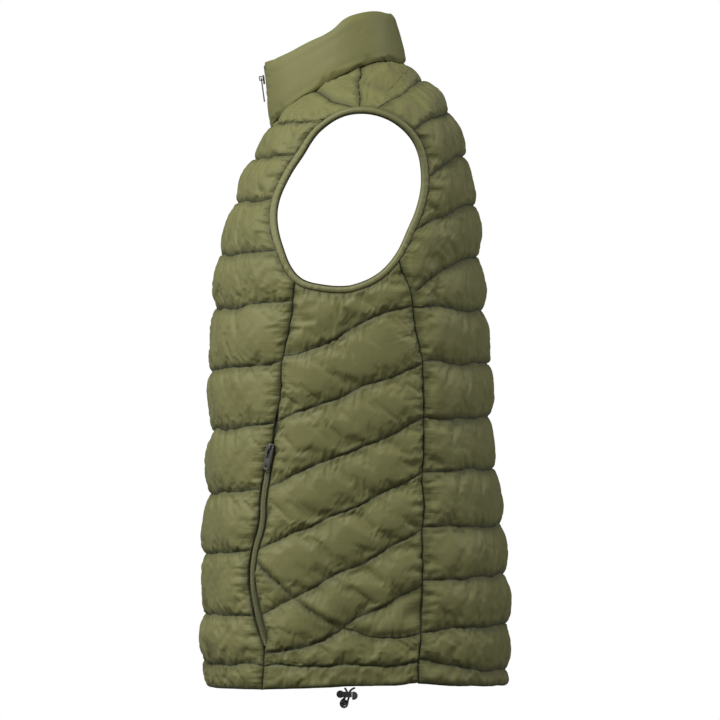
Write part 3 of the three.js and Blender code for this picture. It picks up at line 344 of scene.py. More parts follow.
def distance_to_run(run: Array, points: Array) -> Array:
    """Least distance from points to a line through (n, 2) corners, as seen from the side."""
    spot = points[..., None, 1:]
    a, b = run[:-1], run[1:]
    along = b - a
    k = np.clip(((spot - a) * along).sum(-1) / (along**2).sum(-1), 0, 1)
    return np.linalg.norm(spot - (a + k[..., None] * along), axis=-1).min(-1)


# Meshes


def grid_faces(rows: int, columns: int, start: int = 0, rounds: bool = False) -> Faces:
    """Squares of a grid of points that is stored row by row.

    Args:
        rows: number of rows.
        columns: number of points in a row.
        start: index of the first point.
        rounds: whether each row closes on itself.

    Returns:
        (n, 4) corners, turned so that columns x rows points out.
    """
    index = start + np.arange(rows * columns).reshape(rows, columns)
    if rounds:
        index = np.concatenate([index, index[:, :1]], axis=1)
    corners = (index[:-1, :-1], index[:-1, 1:], index[1:, 1:], index[1:, :-1])
    return np.stack(corners, axis=-1).reshape(-1, 4)


def perimeter(rows: int, columns: int) -> Faces:
    """Indices round a grid's rim, in the turning sense of its squares."""
    index = np.arange(rows * columns).reshape(rows, columns)
    return np.concatenate([
        index[0, :-1], index[:-1, -1], index[-1, :0:-1], index[:0:-1, 0],
    ])


def make_object(
    name: str,
    points: Array,
    faces: list[Faces],
    finishes: list[Finish],
    *,
    uv: Array | None = None,
    marks: dict[str, Array] | None = None,
    finish_of_face: Array | None = None,
    sharp: float | None = None,
) -> Piece:
    """Puts points and faces into a new object that sits at the origin.

    Args:
        name: the piece's name.
        points: (n, 3) in millimetres.
        faces: arrays of triangles and squares.
        finishes: its materials.
        uv: (n, 2) place on the cloth, in metres.
        marks: values at the points, by attribute name.
        finish_of_face: index of each face's material.
        sharp: angle in degrees past which an edge stays sharp.

    Returns:
        The linked object.
    """
    mesh = bpy.data.meshes.new(name)
    sizes = np.concatenate([np.full(len(f), f.shape[1]) for f in faces])
    corners = np.concatenate([f.ravel() for f in faces]).astype(np.int32)
    mesh.vertices.add(len(points))
    mesh.vertices.foreach_set("co", (points * MM).astype(np.float32).ravel())
    mesh.loops.add(len(corners))
    mesh.loops.foreach_set("vertex_index", corners)
    mesh.polygons.add(len(sizes))
    starts = np.concatenate([[0], np.cumsum(sizes)[:-1]]).astype(np.int32)
    mesh.polygons.foreach_set("loop_start", starts)
    mesh.polygons.foreach_set("use_smooth", np.ones(len(sizes), dtype=bool))
    if finish_of_face is not None:
        mesh.polygons.foreach_set("material_index", finish_of_face.astype(np.int32))
    mesh.update(calc_edges=True)
    if uv is not None:
        layer = mesh.uv_layers.new(name="cloth")
        layer.data.foreach_set("uv", uv[corners].astype(np.float32).ravel())
    for key, values in (marks or {}).items():
        attribute = mesh.attributes.new(key, "FLOAT", "POINT")
        attribute.data.foreach_set("value", values.astype(np.float32).ravel())
    if sharp is not None:
        mesh.set_sharp_from_angle(angle=math.radians(sharp))
    for finish in finishes:
        mesh.materials.append(finish)
    made = bpy.data.objects.new(name, mesh)
    bpy.context.scene.collection.objects.link(made)
    return made


def report(piece: Piece) -> Piece:
    """Logs a finished piece's size."""
    triangles = sum(len(p.vertices) - 2 for p in piece.data.polygons)
    LOG.info("%s: %d triangles", piece.name, triangles)
    return piece


def settle(piece: Piece, body: Body, slot: Slot, *nodes: str) -> Piece:
    """Attaches a finished piece to its body, hides the solids that it stands for and logs its size.
    """
    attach(piece, body.value)
    if nodes:
        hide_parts(*nodes)
    return report(piece)


def copies(unit_points: Array, unit_faces: Faces, places: Array, axes: Array) -> tuple:
    """Points and faces of one small shape repeated at many places.

    A point of copy n is places[n] + x axes[n, 0] + y axes[n, 1] + z axes[n, 2].
    """
    points = places[:, None] + np.einsum("mk,nkj->nmj", unit_points, axes)
    faces = unit_faces[None] + (np.arange(len(places)) * len(unit_points))[:, None, None]
    return points.reshape(-1, 3), faces.reshape(-1, unit_faces.shape[1])


def pod(length: float, width: float, height: float, sides: int = 6) -> tuple[Array, Faces]:
    """A thread stitch or coil bar: a rod whose ends are rounded off.

    Args:
        length: along x.
        width: along y.
        height: along z.
        sides: points round it.

    Returns:
        Points and triangles, closed.
    """
    along = np.array([-0.5, -0.3, 0.3, 0.5]) * length
    swell = np.array([0.45, 1, 1, 0.45])
    turn = np.arange(sides) * 2 * math.pi / sides
    points = stack(
        along[:, None],
        swell[:, None] * np.cos(turn) * width / 2,
        swell[:, None] * np.sin(turn) * height / 2,
    ).reshape(-1, 3)
    squares = grid_faces(len(along), sides, rounds=True)
    fan = np.array([[0, i, i + 1] for i in range(1, sides - 1)])
    last = fan + (len(along) - 1) * sides
    return points, np.concatenate([squares[:, :3], squares[:, [0, 2, 3]], fan[:, ::-1], last])


def flat_map(across: Array, along: Array) -> Array:
    """Places of a grid's points on a flat map, row by row."""
    return np.stack(np.broadcast_arrays(across[None], along[:, None]), axis=-1).reshape(-1, 2)


def sweep(rings: Array, rounds: bool) -> tuple[Array, list[Faces]]:
    """A closed profile carried along stations.

    Args:
        rings: (stations, sides, 3) points.
        rounds: whether the last station joins the first.

    Returns:
        Points and faces; open ends get a fan about their middle.
    """
    stations, sides = rings.shape[:2]
    if rounds:
        points = np.concatenate([rings, rings[:1]]).reshape(-1, 3)
        faces = grid_faces(stations + 1, sides, rounds=True) % (stations * sides)
        return points[: stations * sides], [faces]
    ends = np.stack([rings[0].mean(0), rings[-1].mean(0)])
    points = np.concatenate([rings.reshape(-1, 3), ends])
    first = np.arange(sides)
    after = np.roll(first, -1)
    last = (stations - 1) * sides
    hub = stations * sides
    start_fan = np.stack([after, first, np.full(sides, hub)], axis=-1)
    end_fan = np.stack([last + first, last + after, np.full(sides, hub + 1)], axis=-1)
    return points, [grid_faces(stations, sides, rounds=True), start_fan, end_fan]


def cord_rings(path: Array, tangent: Array, across: Array, sides: int) -> Array:
    """Circles of the cord's width round each point of a path, from the directions across."""
    up = np.cross(tangent, across)
    turn = np.arange(sides) * 2 * math.pi / sides
    circle = np.cos(turn)[:, None] * across[:, None] + np.sin(turn)[:, None] * up[:, None]
    return path[:, None] + CORD_DIAMETER / 2 * circle


def smooth_path(points: Array, count: int) -> Array:
    """A number of points at even steps along a smooth curve through (n, k) points."""
    knots = run_lengths(points)
    fine = np.linspace(0, knots[-1], 12 * count)
    curve = np.stack([SmoothColumn(knots, column)(fine) for column in points.T], axis=-1)
    run = run_lengths(curve)
    return columns_at(np.linspace(0, run[-1], count), run, curve)


# Finishes


class Nodes:
    """A short hand for building a material's nodes."""

    def __init__(self, name: str) -> None:
        """Makes a material with one shader."""
        self.material = bpy.data.materials.new(name)
        self.material.use_nodes = True
        self.tree = self.material.node_tree
        self.shader = self.tree.nodes["Principled BSDF"]

    def add(self, kind: str, **values: object) -> bpy.types.Node:
        """Adds a node and sets its properties."""
        node = self.tree.nodes.new(kind)
        for key, value in values.items():
            setattr(node, key, value)
        return node

    def join(self, source: Socket, target: Socket) -> None:
        """Links an output to an input."""
        self.tree.links.new(source, target)

    def set(self, **values: object) -> None:
        """Sets the shader's own sockets, with spaces written as underscores."""
        for key, value in values.items():
            self.shader.inputs[key.replace("_", " ")].default_value = value

    def math(self, operation: str, a: object, b: object = 0.0) -> Socket:
        """Socket of a sum, a product or a like result of two sockets or numbers."""
        node = self.add("ShaderNodeMath", operation=operation)
        for socket, value in zip(node.inputs, (a, b)):
            if isinstance(value, Socket):
                self.join(value, socket)
            else:
                socket.default_value = value
        return node.outputs[0]

    def place(self, source: str, scale: tuple[float, float, float]) -> Socket:
        """Coordinates on the object or its UV map, in metres times repeats to the metre."""
        coordinates = self.add("ShaderNodeTexCoord")
        mapping = self.add("ShaderNodeMapping")
        mapping.inputs["Scale"].default_value = scale
        self.join(coordinates.outputs[source], mapping.inputs["Vector"])
        return mapping.outputs["Vector"]

    def noise(self, place: Socket, detail: float = 3.0) -> Socket:
        """Soft noise, 0 to 1."""
        node = self.add("ShaderNodeTexNoise")
        node.inputs["Scale"].default_value = 1.0
        node.inputs["Detail"].default_value = detail
        self.join(place, node.inputs["Vector"])
        return node.outputs["Fac"]

    def blend(self, factor: Socket, a: object, b: object) -> Socket:
        """Mix of two colours or colour sockets, a at factor 0 and b at 1."""
        node = self.add("ShaderNodeMix", data_type="RGBA")
        self.join(factor, node.inputs[0])
        for socket, value in ((node.inputs[6], a), (node.inputs[7], b)):
            if isinstance(value, Socket):
                self.join(value, socket)
            else:
                socket.default_value = (*value, 1.0)
        return node.outputs[2]

    def relief(self, height: Socket, depth: float) -> None:
        """Bump from a height of 0 to 1 and its depth in metres, on top of earlier relief."""
        bump = self.add("ShaderNodeBump")
        bump.inputs["Strength"].default_value = 1.0
        bump.inputs["Distance"].default_value = depth
        self.join(height, bump.inputs["Height"])
        normal = self.shader.inputs["Normal"]
        if normal.is_linked:
            self.join(normal.links[0].from_socket, bump.inputs["Normal"])
        self.join(bump.outputs["Normal"], normal)

    def grain(self, source: str, scale: tuple, detail: float, depth: float) -> None:
        """Relief of soft noise on the object or its UV map."""
        self.relief(self.noise(self.place(source, scale), detail), depth)

    def tone(self, factor: Socket, dark: tuple, light: tuple) -> None:
        """Colours the shader from dark to light."""
        self.join(self.blend(factor, dark, light), self.shader.inputs["Base Color"])


@dataclass(frozen=True)
class QuiltedNylon:
    """Downproof nylon: a satin shell that gathers along its stitching."""

    name: str = "shell nylon"
    lit: tuple[float, float, float] = (0.2, 0.196, 0.072)
    deep: tuple[float, float, float] = (0.164, 0.163, 0.058)
    # the next two colours and their reaches are painted shade: darker tones laid into the valleys
    # and creases beside the stitch rows and seams
    valley: tuple[float, float, float] = (0.094, 0.096, 0.033)
    crease: tuple[float, float, float] = (0.02, 0.022, 0.008)
    roughness: float = 0.6
    valley_reach: float = 9.0
    crease_reach: float = 1.5
    gather_depth: float = 0.0018
    wrinkle_depth: float = 0.0006
    weave_per_metre: float = 2600.0

    def material(self) -> Finish:
        """Builds the nodes: tone by broad noise, painted shade by distance from the stitching."""
        nodes = Nodes(self.name)
        nodes.set(Roughness=self.roughness, Specular_IOR_Level=0.32, Sheen_Weight=0.04)
        row = nodes.add("ShaderNodeAttribute", attribute_name="row").outputs["Fac"]
        seam = nodes.add("ShaderNodeAttribute", attribute_name="seam").outputs["Fac"]
        nearest = nodes.math("MINIMUM", row, seam)
        broad = nodes.noise(nodes.place("Object", (16, 16, 16)), 4.0)
        tone = nodes.blend(broad, self.deep, self.lit)
        # painted shade: the tone darkens towards the stitching, over a wide valley and then a
        # narrow crease
        for reach, dark in ((self.valley_reach, self.valley), (self.crease_reach, self.crease)):
            shade_fade = nodes.math("MINIMUM", nodes.math("MULTIPLY", nearest, 1 / reach), 1.0)
            tone = nodes.blend(shade_fade, dark, tone)
        nodes.join(tone, nodes.shader.inputs["Base Color"])
        for mark, repeats, reach in ((row, (230, 26, 1), 15.0), (seam, (24, 190, 1), 24.0)):
            streaks = nodes.noise(nodes.place("UV", repeats), 2.0)
            fade = nodes.math("ADD", nodes.math("MULTIPLY", mark, -1 / reach), 1.0)
            fade = nodes.math("MAXIMUM", fade, 0.08)
            nodes.relief(nodes.math("MULTIPLY", streaks, fade), self.gather_depth)
        nodes.grain("UV", (60, 22, 1), 3.0, self.wrinkle_depth)
        nodes.grain("UV", (self.weave_per_metre, self.weave_per_metre, 1), 1.0, WEAVE_DEPTH)
        return nodes.material


@dataclass(frozen=True)
class PlainNylon:
    """Smooth nylon for the lining and the bindings."""

    name: str
    colour: tuple[float, float, float]
    dark: tuple[float, float, float]
    roughness: float = 0.5

    def material(self) -> Finish:
        """Builds the nodes: two tones by noise, soft wrinkles and a fine weave."""
        nodes = Nodes(self.name)
        nodes.set(Roughness=self.roughness, Sheen_Weight=0.1)
        broad = nodes.noise(nodes.place("Object", (22, 22, 22)), 4.0)
        nodes.tone(broad, self.dark, self.colour)
        nodes.grain("Object", (120, 120, 120), 3.0, 0.0004)
        nodes.grain("Object", (2200, 2200, 2200), 1.0, WEAVE_DEPTH)
        return nodes.material


@dataclass(frozen=True)
class TwillTape:
    """Woven zip tape with slanted ribs."""

    name: str = "zip tape"
    colour: tuple[float, float, float] = (0.07, 0.072, 0.028)
    dark: tuple[float, float, float] = (0.028, 0.03, 0.012)
    ribs_per_metre: float = 900.0

    def material(self) -> Finish:
        """Builds the nodes: a slanted wave across the tape for its twill."""
        nodes = Nodes(self.name)
        nodes.set(Roughness=0.8, Sheen_Weight=0.2)
        place = nodes.place("UV", (self.ribs_per_metre, self.ribs_per_metre * 0.8, 1))
        wave = nodes.add("ShaderNodeTexWave", wave_type="BANDS", bands_direction="DIAGONAL")
        wave.inputs["Scale"].default_value = 0.35
        wave.inputs["Distortion"].default_value = 1.0
        nodes.join(place, wave.inputs["Vector"])
        nodes.tone(wave.outputs["Fac"], self.dark, self.colour)
        nodes.relief(wave.outputs["Fac"], 0.00012)
        return nodes.material


@dataclass(frozen=True)
class SmoothTrim:
    """Painted metal or moulded plastic, worn a little by use."""

    name: str
    colour: tuple[float, float, float]
    worn: tuple[float, float, float]
    metallic: float
    roughness: float
    grain_depth: float = 0.00003

    def material(self) -> Finish:
        """Builds the nodes: worn spots by noise, roughness that follows them, fine grain."""
        nodes = Nodes(self.name)
        nodes.set(Metallic=self.metallic)
        spots = nodes.noise(nodes.place("Object", (260, 260, 260)), 5.0)
        nodes.tone(spots, self.colour, self.worn)
        rough = nodes.math("MULTIPLY", spots, 0.25)
        rough = nodes.math("ADD", rough, self.roughness - 0.1)
        nodes.join(rough, nodes.shader.inputs["Roughness"])
        nodes.grain("Object", (1500, 1500, 1500), 2.0, self.grain_depth)
        return nodes.material


@dataclass(frozen=True)
class BraidedCord:
    """Elastic cord in a tight braid."""

    name: str = "elastic cord"
    colour: tuple[float, float, float] = (0.016, 0.016, 0.017)
    dark: tuple[float, float, float] = (0.004, 0.004, 0.004)

    def material(self) -> Finish:
        """Builds the nodes: two crossing waves round the cord make the plait."""
        nodes = Nodes(self.name)
        nodes.set(Roughness=0.75, Sheen_Weight=0.3)
        heights = []
        for lean in (1.0, -1.0):
            wave = nodes.add("ShaderNodeTexWave", wave_type="BANDS", bands_direction="DIAGONAL")
            wave.inputs["Scale"].default_value = 1.0
            place = nodes.place("UV", (500 * lean, 620, 1))
            nodes.join(place, wave.inputs["Vector"])
            heights.append(wave.outputs["Fac"])
        plait = nodes.math("MAXIMUM", *heights)
        nodes.tone(plait, self.dark, self.colour)
        nodes.relief(plait, 0.0001)
        return nodes.material


@dataclass(frozen=True)
class PaleGround:
    """The plain floor."""

    name: str = "pale floor"
    tone: float = 0.35
    glow: float = 0.58

    def material(self) -> Finish:
        """A matt pale grey that is lit from within, like a light table."""
        nodes = Nodes(self.name)
        nodes.set(Roughness=0.9, Base_Color=(self.tone, self.tone, self.tone, 1))
        nodes.set(Emission_Color=(1, 1, 1, 1), Emission_Strength=self.glow)
        return nodes.material


class Wardrobe:
    """All finishes, made once."""

    def __init__(self) -> None:
        """Makes the materials."""
        self.shell = QuiltedNylon().material()
        self.lining = PlainNylon(
            "lining nylon", (0.085, 0.086, 0.04), (0.06, 0.062, 0.03), 0.5,
        ).material()
        self.trim = PlainNylon(
            "binding nylon", (0.2, 0.198, 0.075), (0.16, 0.16, 0.058), 0.6,
        ).material()
        self.thread = PlainNylon(
            "sewing thread", (0.05, 0.052, 0.024), (0.03, 0.032, 0.015), 0.6,
        ).material()
        self.tape = TwillTape().material()
        self.coil = SmoothTrim(
            "zip coil", (0.2, 0.2, 0.085), (0.27, 0.268, 0.125), 0.0, 0.6,
        ).material()
        self.metal = SmoothTrim(
            "gunmetal", (0.13, 0.126, 0.124), (0.26, 0.25, 0.245), 0.8, 0.36,
        ).material()
        self.cord = BraidedCord().material()
        self.plastic = SmoothTrim(
            "lock plastic", (0.012, 0.012, 0.013), (0.022, 0.022, 0.024), 0.0, 0.35,
        ).material()
        self.button = SmoothTrim(
            "button plastic", (0.035, 0.036, 0.038), (0.055, 0.055, 0.058), 0.0, 0.4,
        ).material()


# The worn body that all panels are laid over


class Torso:
    """The vest's left half as a stack of rounded sections, with the armhole's edge on it."""

    def __init__(self) -> None:
        """Makes the smooth curves through the tables."""
        z = SECTIONS[:, 0]
        self.front, self.back, self.half = (
            SmoothColumn(z, column) for column in SECTIONS[:, 1:].T
        )
        self.hole_radius = SmoothColumn(*ARMHOLE.T)
        self.front_seam = SmoothColumn(*FRONT_SEAM.T)
        self.back_seam = SmoothColumn(*BACK_SEAM.T)

    def span(self, z: Array) -> tuple[Array, Array]:
        """Middle and half depth of the section at a height."""
        return (self.front(z) + self.back(z)) / 2, (self.back(z) - self.front(z)) / 2

    def by_turn(self, turn: Array, z: Array) -> Array:
        """A point by its turn round the section, 0 in front and half a turn behind.

        x = half width times sin(turn) to the power 2 / roundness, and y = middle - depth times
        cos(turn) to the same power, with its sign.
        """
        middle, depth = self.span(z)
        across = np.abs(np.sin(turn)) ** (2 / ROUNDNESS)
        along = np.sign(np.cos(turn)) * np.abs(np.cos(turn)) ** (2 / ROUNDNESS)
        return stack(self.half(z) * across, middle - depth * along, z)

    def turn_at_depth(self, y: Array, z: Array) -> Array:
        """The turn at which the section has a given depth: by_turn solved for y."""
        middle, depth = self.span(z)
        along = np.clip((middle - y) / depth, -1, 1)
        return np.arccos(np.sign(along) * np.abs(along) ** (ROUNDNESS / 2))

    def turn_at_width(self, x: float, z: Array) -> Array:
        """The turn in front at which the section has a given half width."""
        return np.arcsin((x / self.half(z)) ** (ROUNDNESS / 2))

    def at(self, y: Array, z: Array) -> Array:
        """The point of the left side that is seen at depth y and height z."""
        return self.by_turn(self.turn_at_depth(y, z), z)

    def normal(self, y: Array, z: Array) -> Array:
        """Outward direction there: the cross product of the steps round and up."""
        turn = np.clip(self.turn_at_depth(y, z), 0.01, math.pi - 0.01)
        round_step = self.by_turn(turn + 0.004, z) - self.by_turn(turn - 0.004, z)
        up_step = self.by_turn(turn, z + 1) - self.by_turn(turn, z - 1)
        return unit(np.cross(round_step, up_step))

    def armhole(self, angle: Array, margin: Array | float) -> Array:
        """The armhole's edge by angle from the top, moved out by a margin."""
        wrapped = np.where(angle > 180, angle - 360, angle)
        reach = self.hole_radius(wrapped) + margin
        turn = np.radians(wrapped)
        y = ARMHOLE_CENTRE[0] - reach * np.sin(turn)
        z = ARMHOLE_CENTRE[1] + reach * np.cos(turn)
        return self.at(y, z)

    def corner_angle(self, seam: SmoothColumn, low: float, high: float) -> float:
        """Angle at which a seam runs into the armhole's edge, by halving."""
        def beyond(angle: float) -> bool:
            """Whether the edge lies behind the seam at this angle."""
            point = self.armhole(np.array(angle), ARM_MARGIN)
            return bool(point[1] > seam(point[2]))

        start = beyond(low)
        for _ in range(40):
            middle = (low + high) / 2
            if beyond(middle) == start:
                low = middle
            else:
                high = middle
        return low


class Drag:
    """How the stitching pulls the cloth about: a small smooth wander along it.

    It depends on the place alone and is the same on both sides, so that pieces which meet stay
    together. It fades out at the zips, the armholes, the neck and the hem.
    """

    # usual wavelength, reach
    waves = ((75, 1.5), (26, 0.6), (11, 0.3))
    fading = 16.0
    seed = 7
    out_of_reach = 100

    def __init__(self, torso: Torso, neck: Neckline) -> None:
        """Keeps what it fades out at."""
        self.torso, self.neck = torso, neck

    def share(self, points: Array) -> Array:
        """How much of the drag there is, 0 to 1."""
        x, y, z = np.moveaxis(points, -1, 0)
        y_off, z_off = y - ARMHOLE_CENTRE[0], z - ARMHOLE_CENTRE[1]
        hole = self.torso.hole_radius(np.degrees(np.arctan2(-y_off, z_off))) + BINDING_WIDTH
        above = self.out_of_reach * (z > POCKET_TOP + self.fading)
        seam = np.abs(y - self.torso.front_seam(z)) + above
        middle = (self.neck.front + self.neck.back) / 2
        depth = self.neck.back - middle
        room = (
            np.hypot(y_off, z_off) - hole,
            np.abs(x) - ZIP_HALF + self.out_of_reach * (y > 0),
            seam,
            depth * (np.hypot(x / self.neck.half, (y - middle) / depth) - 1),
            z - HEM_BELOW,
        )
        return smooth(np.min(room, axis=0) / self.fading)

    def __call__(self, points: Array) -> Array:
        """The points after the drag."""
        rng = np.random.default_rng(self.seed)
        place = np.abs(points * (1, 0, 0)) + points * (0, 1, 1)
        moved = np.zeros((2, *points.shape[:-1]))
        for length, reach in self.waves:
            moved += reach * np.stack([undulation(place, length, rng) for _ in range(2)])
        moved *= self.share(points)
        return points + stack(0, *moved)


class Neckline:
    """The neck seam and the collar's upper edge, from centre front to centre back."""

    front, back, half = -99.4, 46.0, 84.0
    top_front, top_back, top_half = -107.0, 33.0, 73.0
    shoulder_depth = 0.0

    def __init__(self) -> None:
        """Makes the smooth curves of the heights."""
        self.height = SmoothColumn(*NECK_HEIGHTS.T)
        self.top_height = SmoothColumn(*COLLAR_HEIGHTS.T)
        middle, depth = (self.front + self.back) / 2, (self.back - self.front) / 2
        self.shoulder_turn = math.acos((middle - self.shoulder_depth) / depth)

    def seam(self, turn: Array) -> Array:
        """A point of the neck seam by its turn, on an ellipse at the table's height."""
        y = (self.front + self.back) / 2 - (self.back - self.front) / 2 * np.cos(turn)
        return stack(self.half * np.sin(turn), y, self.height(y))

    def top(self, turn: Array) -> Array:
        """A point of the collar's upper edge by its turn."""
        depth = (self.top_back - self.top_front) / 2
        y = (self.top_front + self.top_back) / 2 - depth * np.cos(turn)
        return stack(self.top_half * np.sin(turn), y, self.top_height(y))


class Border:
    """A run of points that a panel's rows start from or end at."""

    search_points = 4801

    def __init__(self, *runs: Array) -> None:
        """Joins runs of points, leaving out those that repeat."""
        points = np.concatenate(runs)
        step = np.linalg.norm(np.diff(points, axis=0), axis=1)
        self.points = points[np.concatenate([[True], step > 1e-6])]
        self.lengths = run_lengths(self.points)

    def at(self, length: Array) -> Array:
        """The point at a length along the run."""
        return columns_at(length, self.lengths, self.points)

    def locate(self, y: float, z: float) -> float:
        """Length at which the run passes nearest to a point seen from the side."""
        length = np.linspace(0, self.lengths[-1], self.search_points)
        point = self.at(length)
        return float(length[np.argmin(np.hypot(point[:, 1] - y, point[:, 2] - z))])


class RowEnds:
    """Where each stitch row starts and ends along a panel's two borders."""

    def __init__(self, rows: Array, inner: Border, outer: Border, corners: tuple = ()) -> None:
        """Finds the rows' ends; a corner inside a channel is put at the channel's middle.

        Args:
            rows: table of inner y, inner z, outer y, outer z.
            inner: border that the rows start from.
            outer: border that they end at.
            corners: lengths along the outer border where it turns.
        """
        self.inner = np.array([inner.locate(row[0], row[1]) for row in rows])
        self.outer = np.array([outer.locate(row[2], row[3]) for row in rows])
        low, high = self.outer[:-1], self.outer[1:]
        self.middle = (low + high) / 2
        for corner in corners:
            inside = (corner > low + 1) & (corner < high - 1)
            self.middle = np.where(inside, corner, self.middle)

    def __call__(self, t: Array) -> tuple[Array, Array]:
        """Lengths along both borders at row place t."""
        i = np.clip(np.floor(t).astype(int), 0, len(self.inner) - 2)
        k = t - i
        low, middle, high = self.outer[i], self.middle[i], self.outer[i + 1]
        outer = np.where(k < 0.5, mix(low, middle, 2 * k), mix(middle, high, 2 * k - 1))
        return mix(self.inner[i], self.inner[i + 1], k), outer


# Quilted panels


@dataclass
class ClothSheet:
    """A grid of points on a panel's stitch surface and what is known there."""

    points: Array
    normals: Array
    along: Array
    up: Array
    row_distance: Array
    edge_distance: Array
    channel_height: Array
    channel_place: Array
    stitched_rows: list[int]


@dataclass
class Filling:
    """How a quilted sheet is blown up by its padding in a cloth simulation."""

    pressure: float = 7.0
    spare_cloth: float = 0.035
    frames: int = 18
    quality: int = 5
    start_fill: float = 0.72
    least: float = -0.3
    most_over: float = 1.4

    def simulate(self, name: str, start: Array, pinned: Array) -> Array:
        """Runs Blender's Cloth on a sheet with its stitching held fast.

        Args:
            name: name of the passing object.
            start: (rows, columns, 3) points in millimetres.
            pinned: (rows, columns) True where the cloth is sewn down.

        Returns:
            The settled points.
        """
        rows, columns = start.shape[:2]
        faces = [grid_faces(rows, columns)]
        sheet = make_object(f"{name}_filling", start.reshape(-1, 3), faces, [])
        group = sheet.vertex_groups.new(name="sewn")
        group.add(np.flatnonzero(pinned.ravel()).tolist(), 1.0, "REPLACE")
        cloth = sheet.modifiers.new("Filling", "CLOTH")
        settings = cloth.settings
        settings.vertex_group_mass = "sewn"
        settings.quality = self.quality
        settings.use_pressure = True
        settings.uniform_pressure_force = self.pressure
        settings.effector_weights.gravity = 0
        settings.shrink_min = -self.spare_cloth
        settings.bending_stiffness = 0.2
        settings.tension_stiffness = 12
        settings.compression_stiffness = 8
        settings.shear_stiffness = 4
        cloth.collision_settings.use_collision = False
        cloth.point_cache.frame_start = 1
        cloth.point_cache.frame_end = self.frames
        scene = bpy.context.scene
        for frame in range(1, self.frames + 1):
            scene.frame_set(frame)
        settled = sheet.evaluated_get(bpy.context.evaluated_depsgraph_get())
        flat = np.empty(rows * columns * 3, dtype=np.float32)
        settled.data.vertices.foreach_get("co", flat)
        mesh = sheet.data
        bpy.data.objects.remove(sheet)
        bpy.data.meshes.remove(mesh)
        scene.frame_set(1)
        return flat.reshape(rows, columns, 3).astype(float) / MM


def refining_weights(count: int, breaks: list[int]) -> Array:
    """Weights that put a point between each two of a row, on a smooth curve.

    Away from breaks a middle point is (-1, 9, 9, -1) / 16 of its four neighbours. Beside a
    break it is (3, 6, -1) / 8 of the break and the two points after it, so the crease stays.

    Args:
        count: points in the row.
        breaks: where the curve has a crease; both ends have one.

    Returns:
        (2 count - 1, count) weights.
    """
    weights = np.zeros((2 * count - 1, count))
    weights[::2] = np.eye(count)
    sharp = set(breaks) | {0, count - 1}
    for i in range(count - 1):
        row = weights[2 * i + 1]
        if i in sharp and i + 1 in sharp:
            row[[i, i + 1]] = 0.5
        elif i in sharp:
            row[[i, i + 1, i + 2]] = (0.375, 0.75, -0.125)
        elif i + 1 in sharp:
            row[[i - 1, i, i + 1]] = (-0.125, 0.75, 0.375)
        else:
            row[[i - 1, i, i + 1, i + 2]] = (-0.0625, 0.5625, 0.5625, -0.0625)
    return weights


class Refining:
    """Puts a grid on twice the points each way, smooth except across the stitch rows."""

    def __init__(self, shape: tuple[int, int], breaks: list[int]) -> None:
        """Works out the weights for a coarse grid's rows and columns and its creased rows."""
        self.down = refining_weights(shape[0], breaks)
        self.across = refining_weights(shape[1], [])

    def __call__(self, values: Array) -> Array:
        """Values or points of the fine grid."""
        return np.einsum("ai,bj,ij...->ab...", self.down, self.across, values, optimize=True)


@dataclass
class PaddedWall:
    """A closed padded piece: a finely meshed outer face over a plain inner one.

    The outer face has 2 n - 1 points for each n of the inner one. The distances are from the
    stitching that runs along the rows and from the seams across them, and on the lining they
    are greater by LINING_OFF, which keeps the shell's painted crease shade and gathers off it.
    """

    outer: Array
    inner: Array
    along: Array
    up: Array
    row_distance: Array
    seam_distance: Array

    def mirrored(self) -> PaddedWall:
        """The same wall on the other side of the body."""
        flipped = [getattr(self, part.name)[:, ::-1] for part in fields(self)]
        return PaddedWall(*(grid * (-1, 1, 1) for grid in flipped[:2]), *flipped[2:])

    def build(self, name: str, shell: Finish, lining: Finish) -> Piece:
        """Makes the mesh.

        Args:
            name: the piece's name.
            shell: finish of the outer face.
            lining: finish of the inner face.

        Returns:
            The object.
        """
        (rows, columns), (tall, wide) = self.inner.shape[:2], self.outer.shape[:2]
        inner_start = tall * wide
        outer_rim = perimeter(tall, wide)
        inner_rim = inner_start + perimeter(rows, columns)
        o0, o1, o2 = outer_rim[::2], outer_rim[1::2], np.roll(outer_rim[::2], -1)
        i0, i1 = inner_rim, np.roll(inner_rim, -1)
        rim = np.concatenate([
            np.stack([o1, o0, i0], axis=-1),
            np.stack([o2, o1, i1], axis=-1),
            np.stack([o1, i0, i1], axis=-1),
        ])
        shell_faces = grid_faces(tall, wide)
        lining_faces = grid_faces(rows, columns, inner_start)[:, ::-1]
        uv = np.stack([self.along, self.up], axis=-1)
        marks = {
            key: np.concatenate([grid.ravel(), grid[::2, ::2].ravel() + LINING_OFF])
            for key, grid in (("row", self.row_distance), ("seam", self.seam_distance))
        }
        finish = np.repeat([0, 1, 0], [len(shell_faces), len(lining_faces), len(rim)])
        return make_object(
            name,
            np.concatenate([self.outer.reshape(-1, 3), self.inner.reshape(-1, 3)]),
            [shell_faces, lining_faces, rim],
            [shell, lining],
            uv=np.concatenate([uv.reshape(-1, 2), uv[::2, ::2].reshape(-1, 2)]) * MM,
            marks=marks,
            finish_of_face=finish,
        )


